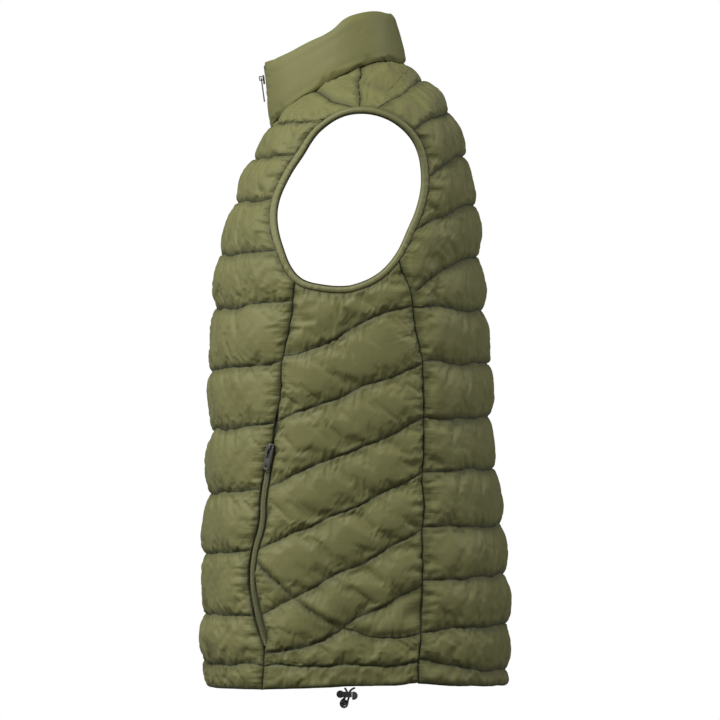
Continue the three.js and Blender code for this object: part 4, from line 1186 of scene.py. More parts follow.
@dataclass
class QuiltedPanel:
    """A panel in sewn channels, filled by simulation, over a plain lining.

    Each kind of panel sets its stitch rows, and either lays its surface or works it out.
    """

    name: str
    torso: Torso
    seed: int
    spacing: float = 3.6
    filling: Filling = field(default_factory=Filling)
    drag: Drag | None = None
    pattern: Pattern | None = None
    gather: float = 0.8
    gather_length: float = 13.0
    gather_reach: float = 10.0
    seam_gather: float = 1.1
    seam_gather_reach: float = 17.0
    dent: float = 0.5
    dent_size: float = 46.0
    fold: float = 1.9
    fold_reach: float = 8.0
    seam_fold: float = 1.5
    seam_fold_length: float = 15.0
    seam_fold_reach: float = 16.0

    def surface(self, s: Array, t: Array) -> Array:
        """Point of the stitch surface: s from border to border, t by rows from the hem."""
        return self.laid(s, t)

    def whole(self, half: Array) -> Array:
        """Both halves of a panel that crosses the middle; others stay as they are."""
        return half

    def crossing(self) -> Array | None:
        """A further stitch line that crosses the channels, as y and z."""
        return None

    def sheet(self) -> ClothSheet:
        """Lays an even grid over the stitch surface and measures it from the stitching."""
        last = len(self.rows) - 1
        middle = self.surface(np.full(last + 1, 0.5), np.arange(last + 1.0))
        heights = np.linalg.norm(np.diff(middle, axis=0), axis=1)
        parts = [max(4, 2 * round(height / self.spacing / 2)) for height in heights]
        t = np.concatenate([
            i + np.arange(count) / count for i, count in enumerate(parts)
        ] + [np.array([float(last)])])
        dense = np.linspace(0, 1, DENSE_POINTS)
        lay = self.surface(*np.broadcast_arrays(dense[None], t[:, None]))
        run = run_lengths(lay, 1)
        columns = 2 * round(float(np.quantile(run[:, -1], 0.7)) / self.spacing / 2) + 1
        even = np.linspace(0, 1, columns)
        s = np.stack([np.interp(even, row / row[-1], dense) for row in run])
        t_grid = np.broadcast_to(t[:, None], s.shape)
        channel = np.clip(np.floor(t_grid), 0, last - 1)
        foot, head = self.surface(s, channel), self.surface(s, channel + 1)
        height = np.linalg.norm(head - foot, axis=-1)
        place = t_grid - channel
        points = self.drag(self.whole(self.surface(s, t_grid)))
        height, place = self.whole(height), self.whole(place)
        along = run_lengths(points, 1)
        return ClothSheet(
            points=points,
            normals=grid_normals(points),
            along=along,
            up=run_lengths(points),
            row_distance=np.minimum(place, 1 - place) * height,
            edge_distance=np.minimum(along, along[:, -1:] - along),
            channel_height=height,
            channel_place=place,
            stitched_rows=np.concatenate([[0], np.cumsum(parts)]).tolist(),
        )

    def rise(self, sheet: ClothSheet, extra: Array) -> Array:
        """Height of the padding before it settles.

        A channel rises as (1 - |2 k - 1| to the power 2.2) to the power 0.6 over its height,
        less where it is low, and pinches in towards the seams, most gently under the collar.
        """
        fill = np.minimum(1, sheet.channel_height / FULL_CHANNEL) ** 0.8
        bow = np.abs(2 * sheet.channel_place - 1)
        dome = (1 - bow**2.2) ** 0.6
        crossed = 0.3 + 0.7 * pinch(extra, 13)
        near_neck = smooth((sheet.points[..., 2] + 50) / 25)
        edge = sheet.edge_distance
        edge = mix(pinch(edge, SEAM_PINCH), smooth(edge / NECK_PINCH), near_neck)
        return PUFF_HEIGHT * fill * dome * edge * crossed

    def wrinkles(self, sheet: ClothSheet, extra: Array) -> Array:
        """Soft gathers beside the stitch rows and the seams, and dents.

        Args:
            sheet: the grid.
            extra: distance to a further stitch line.

        Returns:
            Heights in millimetres.
        """
        rng = np.random.default_rng(self.seed)
        place = np.stack([sheet.along, sheet.up], axis=-1)
        lean = sheet.along + 0.25 * sheet.up + 3 * undulation(place, 40, rng)
        amount = np.clip(0.6 + 0.6 * undulation(place, 70, rng), 0.1, 1.5)
        reach, length = self.gather_reach, self.gather_length
        total = self.gather * beside(sheet.row_distance, reach) * ripple(lean, length, rng)
        seam = beside(sheet.edge_distance, self.seam_gather_reach)
        total += self.seam_gather * seam * ripple(sheet.up, length, rng)
        total += self.gather * beside(extra, reach) * ripple(lean, length, rng)
        soft = pinch(sheet.row_distance, 14) * pinch(sheet.edge_distance, 14)
        dents = undulation(place * (1, 1.6), self.dent_size, rng)
        return total * amount + self.dent * soft * dents

    def folds(self, along: Array, up: Array, row: Array, seam: Array) -> Array:
        """Fine gathers with round crests and sharp valleys, in patches.

        They stand across the stitch rows, up to about 10 mm long, and across the seams, up to
        about 20 mm long.

        Args:
            along: place along the rows.
            up: place up the panel.
            row: distance from the stitch rows.
            seam: distance from the seams.

        Returns:
            Heights in millimetres.
        """
        rng = np.random.default_rng(self.seed + 1)
        place = np.stack([along, up], axis=-1)
        swing = 4 * undulation(place, 45, rng) + undulation(place, 15, rng)
        patches = np.clip(0.5 + 0.9 * undulation(place * (1, 0.5), 60, rng), 0.12, 1.6)
        crests = np.abs(ripple(along + 0.3 * up + swing, self.gather_length, rng))
        total = self.fold * beside(row, self.fold_reach) * crests
        patches_up = np.clip(0.5 + 0.9 * undulation(place * (0.5, 1), 50, rng), 0.15, 1.6)
        across = np.abs(ripple(up + 0.5 * swing, self.seam_fold_length, rng))
        across = self.seam_fold * patches_up * beside(seam, self.seam_fold_reach) * across
        return patches * total + across

    def wall(self) -> PaddedWall:
        """Fills the panel: its settled outer face with its lining."""
        sheet = self.sheet()
        extra = np.full(sheet.along.shape, FAR)
        if self.crossing() is not None:
            extra = distance_to_run(self.crossing(), sheet.points)
        rise = self.rise(sheet, extra)
        pinned = np.minimum(sheet.row_distance, sheet.edge_distance) < SEWN
        height = np.where(pinned, 0, np.maximum(rise + self.wrinkles(sheet, extra), 0))
        moved = height[..., None] * sheet.normals
        start = np.maximum(height - (1 - self.filling.start_fill) * rise, 0)
        start = sheet.points + start[..., None] * sheet.normals
        moved = self.filling.simulate(self.name, start, pinned) - sheet.points
        out = (moved * sheet.normals).sum(-1)
        creased = np.minimum(np.minimum(sheet.row_distance, sheet.edge_distance), extra)
        most = rise + self.filling.most_over * smooth(creased / 8)
        kept = np.clip(out, self.filling.least * smooth(creased / 6), most)
        moved = moved + (kept - out)[..., None] * sheet.normals
        finer = Refining(rise.shape, sheet.stitched_rows)
        along, up = finer(sheet.along), finer(sheet.up)
        row = np.maximum(finer(sheet.row_distance), 0)
        seam = np.maximum(finer(np.minimum(sheet.edge_distance, NEAR)), 0)
        line = finer(np.clip(extra, 0, NEAR))
        outer = finer(sheet.points) + finer(moved) * mix(0.3, 1, pinch(line, 8))[..., None]
        folds = self.folds(along, up, np.minimum(row, line), seam)
        depth = 0.9 * WALL + 0.12 * rise
        return PaddedWall(
            outer=outer + folds[..., None] * unit(finer(sheet.normals)),
            inner=sheet.points - depth[..., None] * sheet.normals,
            along=along,
            up=up,
            # these distances set where the shell paints shade beside the stitching and the bag
            # seam, and fade its gathers
            row_distance=np.minimum(row, line),
            seam_distance=seam,
        )

    def stitching(self, wall: PaddedWall) -> list[tuple[Array, Array]]:
        """Points and outward directions of the rows, and of the crossing line on the wall."""
        sheet = self.sheet()
        lines = [(sheet.points[row], sheet.normals[row]) for row in sheet.stitched_rows[1:-1]]
        if self.crossing() is not None:
            run = self.crossing()
            gap = np.linalg.norm(wall.outer[..., None, 1:] - run, axis=-1).reshape(-1, len(run))
            points = stack(wall.outer[..., 0].ravel()[gap.argmin(0)], run[:, 0], run[:, 1])
            lines.append((points, self.torso.normal(run[:, 0], run[:, 1])))
        return lines


class Pattern:
    """The borders and surfaces that the panels are cut to."""

    back_full_top = -26.0
    nape_bow = 4.5
    front_droop = 1.3
    back_droop = 3
    front_full_row = 11
    back_full_row = 12

    def __init__(self, torso: Torso, neck: Neckline) -> None:
        """Works out all borders."""
        self.torso, self.neck = torso, neck
        self.front_corner = torso.corner_angle(torso.front_seam, 130, 165)
        self.back_corner = torso.corner_angle(torso.back_seam, -125, -160)
        self.front_corner_z = float(torso.armhole(np.array(self.front_corner), ARM_MARGIN)[2])
        self.back_corner_z = float(torso.armhole(np.array(self.back_corner), ARM_MARGIN)[2])
        neck_start = math.asin(ZIP_EDGE / neck.half) + 0.004
        z = np.linspace(HEM_BELOW, -43.5, 121)
        self.front_inner = Border(
            torso.by_turn(torso.turn_at_width(ZIP_EDGE, z), z),
            neck.seam(np.linspace(neck_start, neck.shoulder_turn, 73)),
        )
        z = np.linspace(HEM_BELOW, self.front_corner_z, 141)
        self.front_outer = Border(
            torso.at(torso.front_seam(z) - self.seam_half_gap(z), z),
            torso.armhole(np.linspace(self.front_corner, SHOULDER_TIP_ANGLE + 0.015, 121),
                          ARM_MARGIN),
        )
        z = np.linspace(HEM_BELOW, self.back_corner_z, 141)
        self.back_outer = Border(
            torso.at(torso.back_seam(z) + SEAM_MEET, z),
            torso.armhole(np.linspace(self.back_corner, SHOULDER_TIP_ANGLE - 0.015, 101),
                          ARM_MARGIN),
            self.shoulder(np.linspace(0, 1, 41), 1),
        )
        z = np.linspace(HEM_BELOW, self.back_full_top, 121)
        self.back_inner = Border(stack(0, torso.back(z), z), self.nape(np.linspace(0, 1, 41)))
        z = np.linspace(HEM_BELOW, self.front_corner_z - 1, 141)
        self.side_front = Border(torso.at(torso.front_seam(z) + self.seam_half_gap(z), z))
        z = np.linspace(HEM_BELOW, self.back_corner_z - 1, 141)
        self.side_back = Border(torso.at(torso.back_seam(z) - SEAM_MEET, z))

    @staticmethod
    def seam_half_gap(z: Array) -> Array:
        """Half the clear space at the front seam, which opens for the pocket zip.

        Above the slider a tuck stays open, by sin squared over its length.
        """
        below = smooth((POCKET_TOP - z) / POCKET_TAPER)
        above = smooth((z - POCKET_FOOT) / POCKET_TAPER)
        tuck = np.clip((z - TUCK_FOOT) / (TUCK_TOP - TUCK_FOOT), 0, 1)
        tuck = TUCK_HALF * np.sin(math.pi * tuck) ** 2
        return SEAM_MEET + np.maximum(POCKET_ZIP_HALF * np.minimum(below, above), tuck)

    def shoulder(self, k: Array, side: int) -> Array:
        """The shoulder seam from armhole to neck, arched by 3 mm, beside the seam's gap."""
        tip = self.torso.armhole(np.array(SHOULDER_TIP_ANGLE), ARM_MARGIN)
        end = self.neck.seam(np.array(self.neck.shoulder_turn))
        point = mix(tip, end, np.asarray(k)[..., None])
        arch = stack(0, side * SEAM_MEET, 3 * np.sin(math.pi * np.asarray(k)))
        return point + arch

    def nape(self, k: Array) -> Array:
        """Centre back above the full sections, bowed out on its way to the neck."""
        foot = stack(0, self.torso.back(self.back_full_top), self.back_full_top)
        point = mix(foot, self.neck.seam(np.array(math.pi)), k[..., None])
        bow = self.nape_bow * np.sin(math.pi * k)
        return point + stack(0, bow, bow)

    def corner_length(self, border: Border, angle: float) -> float:
        """Length along a border at which it meets the armhole's edge at an angle."""
        point = self.torso.armhole(np.array(angle), ARM_MARGIN)
        return border.locate(float(point[1]), float(point[2]))

    def wrap(
        self,
        ends: RowEnds,
        borders: tuple[Border, Border],
        rows: tuple[int, int],
        droop: float,
        inner_turn: Callable[[Array], Array],
        top_edge: Callable[[Array], Array],
    ) -> Callable[[Array, Array], Array]:
        """Surface of a front or back panel.

        Up to the last full row, rows follow the torso's sections. Above it the surface is a
        sheet between the borders plus that row's bulge times (1 - k) and the top edge's times k.

        Args:
            ends: the rows' ends.
            borders: inner and outer border.
            rows: the last full row and the last row.
            droop: power by which a row's height changes along it.
            inner_turn: turn of the rows' inner ends.
            top_edge: the panel's top edge.

        Returns:
            The surface as a function of s and t.
        """
        inner, outer = borders
        full_row, last = rows

        def section_row(start: Array, end: Array, s: Array) -> Array:
            """Points along a row that follows the sections."""
            turn = mix(
                inner_turn(start), self.torso.turn_at_depth(end[..., 1], end[..., 2]), s,
            )
            return self.torso.by_turn(turn, mix(start[..., 2], end[..., 2], s**droop))

        def surface(s: Array, t: Array) -> Array:
            """Point at s and t."""
            s, t = np.broadcast_arrays(np.asarray(s, float), np.asarray(t, float))
            start_length, end_length = ends(t)
            start, end = inner.at(start_length), outer.at(end_length)
            low = section_row(start, end, s)
            full_start_length, full_end_length = ends(np.array(float(full_row)))
            full_start = inner.at(full_start_length)
            full_end = outer.at(full_end_length)
            share = s[..., None]
            bulge = section_row(full_start, full_end, s) - mix(full_start, full_end, share)
            top_start, top_end = top_edge(np.array(0.0)), top_edge(np.array(1.0))
            top_bulge = top_edge(s) - mix(top_start, top_end, share)
            k = np.clip((t - full_row) / (last - full_row), 0, 1)[..., None]
            high = mix(start, end, share) + bulge * (1 - k) + top_bulge * k
            return np.where((t <= full_row)[..., None], low, high)

        return surface


@dataclass
class FrontPanel(QuiltedPanel):
    """A front, from the zip round to the side and up to the shoulder seam."""

    def __post_init__(self) -> None:
        """Makes the surface."""
        cut = self.pattern
        self.rows = FRONT_ROWS
        ends = RowEnds(self.rows, cut.front_inner, cut.front_outer, (
            cut.corner_length(cut.front_outer, cut.front_corner),
        ))
        self.laid = cut.wrap(
            ends,
            (cut.front_inner, cut.front_outer),
            (cut.front_full_row, len(self.rows) - 1),
            cut.front_droop,
            lambda start: self.torso.turn_at_width(start[..., 0], start[..., 2]),
            lambda s: cut.shoulder(1 - s, -1),
        )


@dataclass
class BackPanel(QuiltedPanel):
    """The back in one piece, worked out on the left and mirrored to the right."""

    def __post_init__(self) -> None:
        """Makes the surface."""
        cut = self.pattern
        self.rows = BACK_ROWS
        ends = RowEnds(self.rows, cut.back_inner, cut.back_outer, (
            cut.corner_length(cut.back_outer, cut.back_corner),
            cut.corner_length(cut.back_outer, SHOULDER_TIP_ANGLE),
        ))
        self.laid = cut.wrap(
            ends,
            (cut.back_inner, cut.back_outer),
            (cut.back_full_row, len(self.rows) - 1),
            cut.back_droop,
            lambda start: np.full(start.shape[:-1], math.pi),
            lambda s: cut.neck.seam(mix(math.pi, cut.neck.shoulder_turn, s)),
        )

    def whole(self, half: Array) -> Array:
        """From the wearer's left seam across to the right one, for points or values."""
        flip = np.array([-1.0, 1.0, 1.0]) if half.ndim == 3 else 1.0
        return np.concatenate([half[:, ::-1], half[:, 1:] * flip], axis=1)


@dataclass
class SidePanel(QuiltedPanel):
    """A side under the arm, with slanted channels and the pocket bag's seam."""

    def __post_init__(self) -> None:
        """Finds the rows' ends."""
        cut = self.pattern
        torso = self.torso
        top = np.array([[
            torso.front_seam(cut.front_corner_z), cut.front_corner_z - 1,
            torso.back_seam(cut.back_corner_z), cut.back_corner_z - 1, 0, 0,
        ]])
        self.rows = np.concatenate([SIDE_ROWS, top])
        self.ends = RowEnds(self.rows, cut.side_front, cut.side_back)
        angle = np.linspace(110, 250, 561)
        self.hole_foot = torso.armhole(angle, ARM_MARGIN)
        self.bag_seam = SmoothColumn(*POCKET_BAG_SEAM.T)

    def line(self, s: Array, t: Array | float) -> tuple[Array, Array]:
        """Depth and height on the straight line between a row's ends."""
        start_length, end_length = self.ends(np.asarray(t, float))
        start = self.pattern.side_front.at(start_length)
        end = self.pattern.side_back.at(end_length)
        return mix(start[..., 1], end[..., 1], s), mix(start[..., 2], end[..., 2], s)

    def bend(self, row: int, s: Array) -> Array:
        """How far a row departs from the line between its ends.

        A stitch row bows by bow times sin(pi s) and sways by sway times sin(2 pi s). The pocket
        row follows the bag's seam where that lies below the next row, and the last row follows
        the armhole.
        """
        y, z = self.line(s, row)
        inside = np.sin(math.pi * s) > 1e-6
        if row == len(SIDE_ROWS):
            edge = np.interp(y, self.hole_foot[:, 1], self.hole_foot[:, 2]) - 0.2
            return np.where(inside, edge - z, 0)
        if row == POCKET_ROW:
            above = self.line(s, row + 1)[1] + self.bend(row + 1, s) - LEAST_CHANNEL
            return np.where(inside, np.minimum(self.bag_seam(y), above) - z, 0)
        bow, sway = self.rows[row, 4:]
        return bow * np.sin(math.pi * s) + sway * np.sin(2 * math.pi * s)

    def surface(self, s: Array, t: Array) -> Array:
        """Point of the side."""
        s, t = np.broadcast_arrays(np.asarray(s, float), np.asarray(t, float))
        row = np.clip(np.floor(t).astype(int), 0, len(self.rows) - 2)
        bends = np.stack([self.bend(i, s) for i in range(len(self.rows))])
        low = np.take_along_axis(bends, row[None], 0)[0]
        high = np.take_along_axis(bends, row[None] + 1, 0)[0]
        y, z = self.line(s, t)
        return self.torso.at(y, z + mix(low, high, t - row))

    def crossing(self) -> Array:
        """The pocket bag's seam."""
        run = smooth_path(POCKET_BAG_SEAM, 120)
        return self.drag(self.torso.at(run[:, 0], run[:, 1]))[:, 1:]


@dataclass
class Collar(QuiltedPanel):
    """The stand collar: one plump unquilted ring with a rolled upper edge."""

    neck: Neckline | None = None
    lift: float = 0.4
    front_thinness: float = 0.3
    front_taper: float = 0.36
    stations: int = 96
    outer_rows: int = 37

    def ring(self, profile: Array, rows: int) -> Array:
        """The collar's sheet for one profile, from the left front round to the right.

        A point is foot + up (lift + rise (height - lift)) + out distance.

        Args:
            profile: table of rise and distance out.
            rows: points up the profile.

        Returns:
            (rows, stations, 3) points.
        """
        start = math.asin(ZIP_EDGE / self.neck.top_half) + 0.012
        turn = np.linspace(start, math.pi, self.stations // 2 + 1)
        fullness = mix(self.front_thinness, 1, smooth((turn - start) / self.front_taper))
        foot, top = self.neck.seam(turn), self.neck.top(turn)
        height = np.linalg.norm(top - foot, axis=-1)
        up = unit(top - foot)
        step = self.neck.seam(turn + 0.01) - self.neck.seam(turn - 0.01)
        out = unit(np.cross(step * (1, 1, 0), (0, 0, 1)))
        out = upright(out, up)
        scaled = smooth_path(profile * (60.0, 1.0), rows) / (60.0, 1.0)
        reach = self.lift + scaled[:, :1] * (height - self.lift)
        thick = scaled[:, 1:] * np.where(scaled[:, 1:] > 0, fullness, 1)
        half = foot + reach[..., None] * up + thick[..., None] * out
        half[:, 0, 0] = ZIP_EDGE
        return np.concatenate([half, half[:, -2::-1] * (-1, 1, 1)], axis=1)

    def wall(self) -> PaddedWall:
        """Fills the collar, with gathers along its foot."""
        rng = np.random.default_rng(self.seed)
        outer = self.ring(COLLAR_OUTER, self.outer_rows)
        normals = grid_normals(outer)
        along, up = run_lengths(outer, 1), run_lengths(outer)
        place = np.stack([along, up], axis=-1)
        edge = np.minimum(along, along[:, -1:] - along)
        front = np.exp(-edge / 60)
        waves = beside(up, 12) * (0.25 + front) * ripple(along, 11, rng)
        creases = 0.5 * beside(edge, 30) * ripple(up + 0.4 * along, 17, rng)
        dents = 0.5 * undulation(place, 60, rng) * pinch(edge, 20) * pinch(up, 14)
        pinned = np.ones(edge.shape, dtype=bool)
        pinned[1:-1, 1:-1] = False
        bumps = np.where(pinned, 0, 1.2 * waves + creases + dents)
        settled = outer + bumps[..., None] * normals
        settled = self.filling.simulate(self.name, settled, pinned)
        moved = ((settled - outer) * normals).sum(-1)
        settled = settled + (np.clip(moved, -1.3, 1.2) - moved)[..., None] * normals
        finer = Refining(edge.shape, [])
        along, up, edge = finer(along), finer(up), np.maximum(finer(edge), 0)
        swing = 3 * undulation(np.stack([along, up], axis=-1), 40, rng)
        folds = beside(up, 9) * (0.2 + np.exp(-edge / 70)) * np.abs(ripple(along + swing, 12, rng))
        return PaddedWall(
            outer=finer(settled) + 1.2 * folds[..., None] * unit(finer(normals)),
            inner=self.ring(COLLAR_INNER, self.outer_rows),
            along=along,
            up=up,
            # the shell's painted shade darkens the collar along its foot and at its front ends
            row_distance=np.maximum(up, 0),
            seam_distance=edge,
        )


@dataclass
class ArmholeBinding:
    """A folded band of nylon that closes an armhole's edge."""

    node: str
    torso: Torso
    side: Side
    stations: int = 420
    girth_points: int = 26
    pucker: float = 0.17
    foot_pucker: float = 2.5
    folded_width: float = 12.0
    ripple_run: float = 560.0
    seed: int = 5
    # margin from the hole's edge, distance out of the cloth
    profile: tuple[tuple[float, float], ...] = (
        (0.2, -2.0),
        (0.1, -0.4),
        (0.9, 1.3),
        (3.4, 2.3),
        (5.8, 1.7),
        (6.9, 0.2),
        (6.8, -2.0),
        (4.0, -2.9),
        (1.6, -2.8),
    )

    def outline(self) -> Array:
        """The band's closed cross-section at even steps."""
        closed = np.array([*self.profile, self.profile[0]])
        return smooth_path(closed, self.girth_points + 1)[:-1]

    def build(self, finish: Finish) -> Piece:
        angle = np.linspace(180, -180, self.stations + 1)[1:, None]
        outline = self.outline()
        point = self.torso.armhole(angle, outline[None, :, 0])
        flat = self.torso.normal(point[..., 1], point[..., 2])
        flat = unit(flat * (1, 1, 0))
        rng = np.random.default_rng(self.seed)
        run = np.linspace(0, self.ripple_run, self.stations)[:, None]
        fade = np.sin(np.linspace(0, math.pi, self.stations))[:, None] ** 0.2
        pucker = self.pucker * (1 + self.foot_pucker * smooth((np.abs(angle) - 110) / 30))
        out = outline[None, :, 1] + pucker * fade * ripple(run, 6, rng) * (outline[:, 1] > 0)
        rings = point + out[..., None] * flat
        if self.side is Side.RIGHT:
            rings = rings[:, ::-1] * (-1, 1, 1)
        points, faces = sweep(rings, True)
        piece = make_object(f"armhole_{self.node}", points, faces, [finish])
        return settle(piece, Body.VEST, Slot.TRIM, self.node)


def facing_out(faces: list[Faces], points: Array) -> list[Faces]:
    """Turns the faces of a closed shape round where its volume comes out negative."""
    volume = 0.0
    for group in faces:
        a, b = points[group[:, 0]], points[group[:, 1]]
        for corner in range(2, group.shape[1]):
            c = points[group[:, corner]]
            volume += float((a * np.cross(b, c)).sum())
            b = c
    return faces if volume > 0 else [group[:, ::-1] for group in faces]


@dataclass
class ZipStrip:
    """A zip: a woven tape with a coil of small bars along its middle."""

    name: str
    half: float
    coil_half: float
    pitch: float
    tape_out: tuple[float, ...]
    line: Callable[[Array], tuple[Array, Array, Array, Array]]
    foot: float
    top: float
    coil_span: tuple[float, float]
    coil_rise: float = 0.35
    narrowing: Callable[[Array], Array] = np.ones_like
    tape_thick: float = 0.7
    sinking: float = 3.0

    def tape(self, finish: Finish) -> Piece:
        """The tape as a thin closed strip."""
        z = np.linspace(self.foot, self.top, ZIP_STATIONS)
        point, across, _, out = self.line(z)
        place = np.linspace(-self.half, self.half, len(self.tape_out))
        front = np.array(self.tape_out)
        offset = np.concatenate([place, place[::-1]])
        depth = np.concatenate([front, front[::-1] - self.tape_thick])
        depth = depth - self.sinking * (1 - self.narrowing(z)[:, None])
        rings = point[:, None] + offset[None, :, None] * across[:, None]
        rings = rings + depth[..., None] * out[:, None]
        points, faces = sweep(rings, False)
        uv = np.concatenate([flat_map(offset, z), [[0, self.foot], [0, self.top]]]) * MM
        faces = facing_out(faces, points)
        return make_object(f"{self.name}_tape", points, faces, [finish], uv=uv, sharp=50)

    def coil(self, finish: Finish) -> Piece:
        """Two rows of slanted bars that mesh along the middle."""
        z = np.arange(*self.coil_span, self.pitch)
        made = []
        for side in (-1, 1):
            point, across, up, out = self.line(z + side * self.pitch / 4)
            bar_points, bar_faces = pod(self.coil_half * 1.15, self.pitch * 0.56, 1.6)
            lean = unit(across + side * 0.28 * up)
            aside = unit(up - side * 0.28 * across)
            axes = np.stack([lean, aside, out], axis=1)
            narrow = self.narrowing(z)[:, None]
            places = point + side * 0.46 * self.coil_half * narrow * across
            rise = self.tape_out[len(self.tape_out) // 2] + self.coil_rise
            places = places + (rise - self.sinking * (1 - narrow)) * out
            made.append(copies(bar_points, bar_faces, places, axes))
        points = np.concatenate([made[0][0], made[1][0]])
        faces = np.concatenate([made[0][1], made[1][1] + len(made[0][0])])
        return make_object(f"{self.name}_coil", points, facing_out([faces], points), [finish])


class CentreFront:
    """The line of the centre front, up the torso and in front of the collar's ends."""

    lead = 2.6
    blend = 24.0

    def __init__(self, torso: Torso, neck: Neckline) -> None:
        """Keeps the torso and the neck seam."""
        self.torso, self.neck = torso, neck

    def point(self, z: Array) -> Array:
        """Place at a height, blended from torso to collar."""
        foot, top = self.neck.seam(np.array(0.0)), self.neck.top(np.array(0.0))
        collar_y = mix(foot[1], top[1] - self.lead, (z - foot[2]) / (top[2] - foot[2]))
        share = smooth((z - foot[2] + self.blend / 2) / self.blend)
        return stack(0, mix(self.torso.front(z), collar_y, share), z)

    def frame(self, z: Array) -> tuple[Array, Array, Array, Array]:
        """Place, and the directions across, up and out."""
        up = unit(self.point(z + 1) - self.point(z - 1))
        across = np.broadcast_to((1.0, 0.0, 0.0), up.shape)
        return self.point(z), across, up, np.cross(across, up)


class PocketLine:
    """The line of a pocket zip along the front seam."""

    def __init__(self, torso: Torso, side: Side) -> None:
        """Keeps the torso and the side."""
        self.torso, self.side = torso, side

    def frame(self, z: Array) -> tuple[Array, Array, Array, Array]:
        """Place, and the directions across (towards the back), up and out."""
        y = self.torso.front_seam(z)
        point = self.torso.at(y, z)
        step = self.torso.at(self.torso.front_seam(z + 1), z + 1)
        up = unit(step - self.torso.at(self.torso.front_seam(z - 1), z - 1))
        out = self.torso.normal(y, z)
        across = unit(np.cross(up, out))
        flip = (self.side.value, 1, 1)
        return point * flip, across * flip, up * flip, out * flip


@dataclass
class SewnTrim:
    """Rows of thread stitches along the quilting and the seams."""

    pitch: float = 3.1
    length: float = 2.3
    width: float = 0.38
    height: float = 0.3
    proud: float = 0.1

    def along(self, paths: list[tuple[Array, Array]]) -> tuple[Array, Faces]:
        """Stitches laid end to end on paths.

        Args:
            paths: each the points and the outward directions of one stitch line.

        Returns:
            Points and faces of all stitches.
        """
        places, axes = [], []
        for points, normals in paths:
            run = run_lengths(points)
            at = np.arange(self.pitch, run[-1] - self.pitch / 2, self.pitch)
            step = columns_at(at + 0.5, run, points) - columns_at(at - 0.5, run, points)
            tangent = unit(step)
            out = upright(columns_at(at, run, normals), tangent)
            places.append(columns_at(at, run, points) + self.proud * out)
            axes.append(np.stack([tangent, np.cross(out, tangent), out], axis=1))
        shape = pod(self.length, self.width, self.height, sides=5)
        return copies(*shape, np.concatenate(places), np.concatenate(axes))

    def build(
        self, name: str, paths: list[tuple[Array, Array]], finish: Finish,
    ) -> Piece:
        """Makes one piece of the stitches along all paths."""
        points, faces = self.along(paths)
        piece = make_object(name, points, facing_out([faces], points), [finish])
        return settle(piece, Body.VEST, Slot.SHELL)


@dataclass
class MouldedPart:
    """A hard part: a merged copy of its solid with rounded edges."""

    node: str
    name: str
    bevel: float
    body: Body
    slot: Slot
    segments: int = 3

    def build(self, frame: dict, finish: Finish) -> Piece:
        """Merges, cleans and rounds the copy of its solid in the loaded frame."""
        mesh = frame["nodes"][self.node].data.copy()
        mesh.name = self.name
        work = bmesh.new()
        work.from_mesh(mesh)
        bmesh.ops.remove_doubles(work, verts=work.verts, dist=2e-6)
        bmesh.ops.dissolve_limit(
            work, angle_limit=math.radians(2), verts=work.verts, edges=work.edges,
        )
        work.to_mesh(mesh)
        work.free()
        mesh.materials.clear()
        mesh.materials.append(finish)
        mesh.polygons.foreach_set("use_smooth", [True] * len(mesh.polygons))
        piece = bpy.data.objects.new(self.name, mesh)
        bpy.context.scene.collection.objects.link(piece)
        rounding = piece.modifiers.new("Rounding", "BEVEL")
        rounding.width = self.bevel
        rounding.segments = self.segments
        rounding.limit_method = "ANGLE"
        rounding.angle_limit = math.radians(35)
        rounding.harden_normals = True
        return settle(piece, self.body, self.slot, self.node)


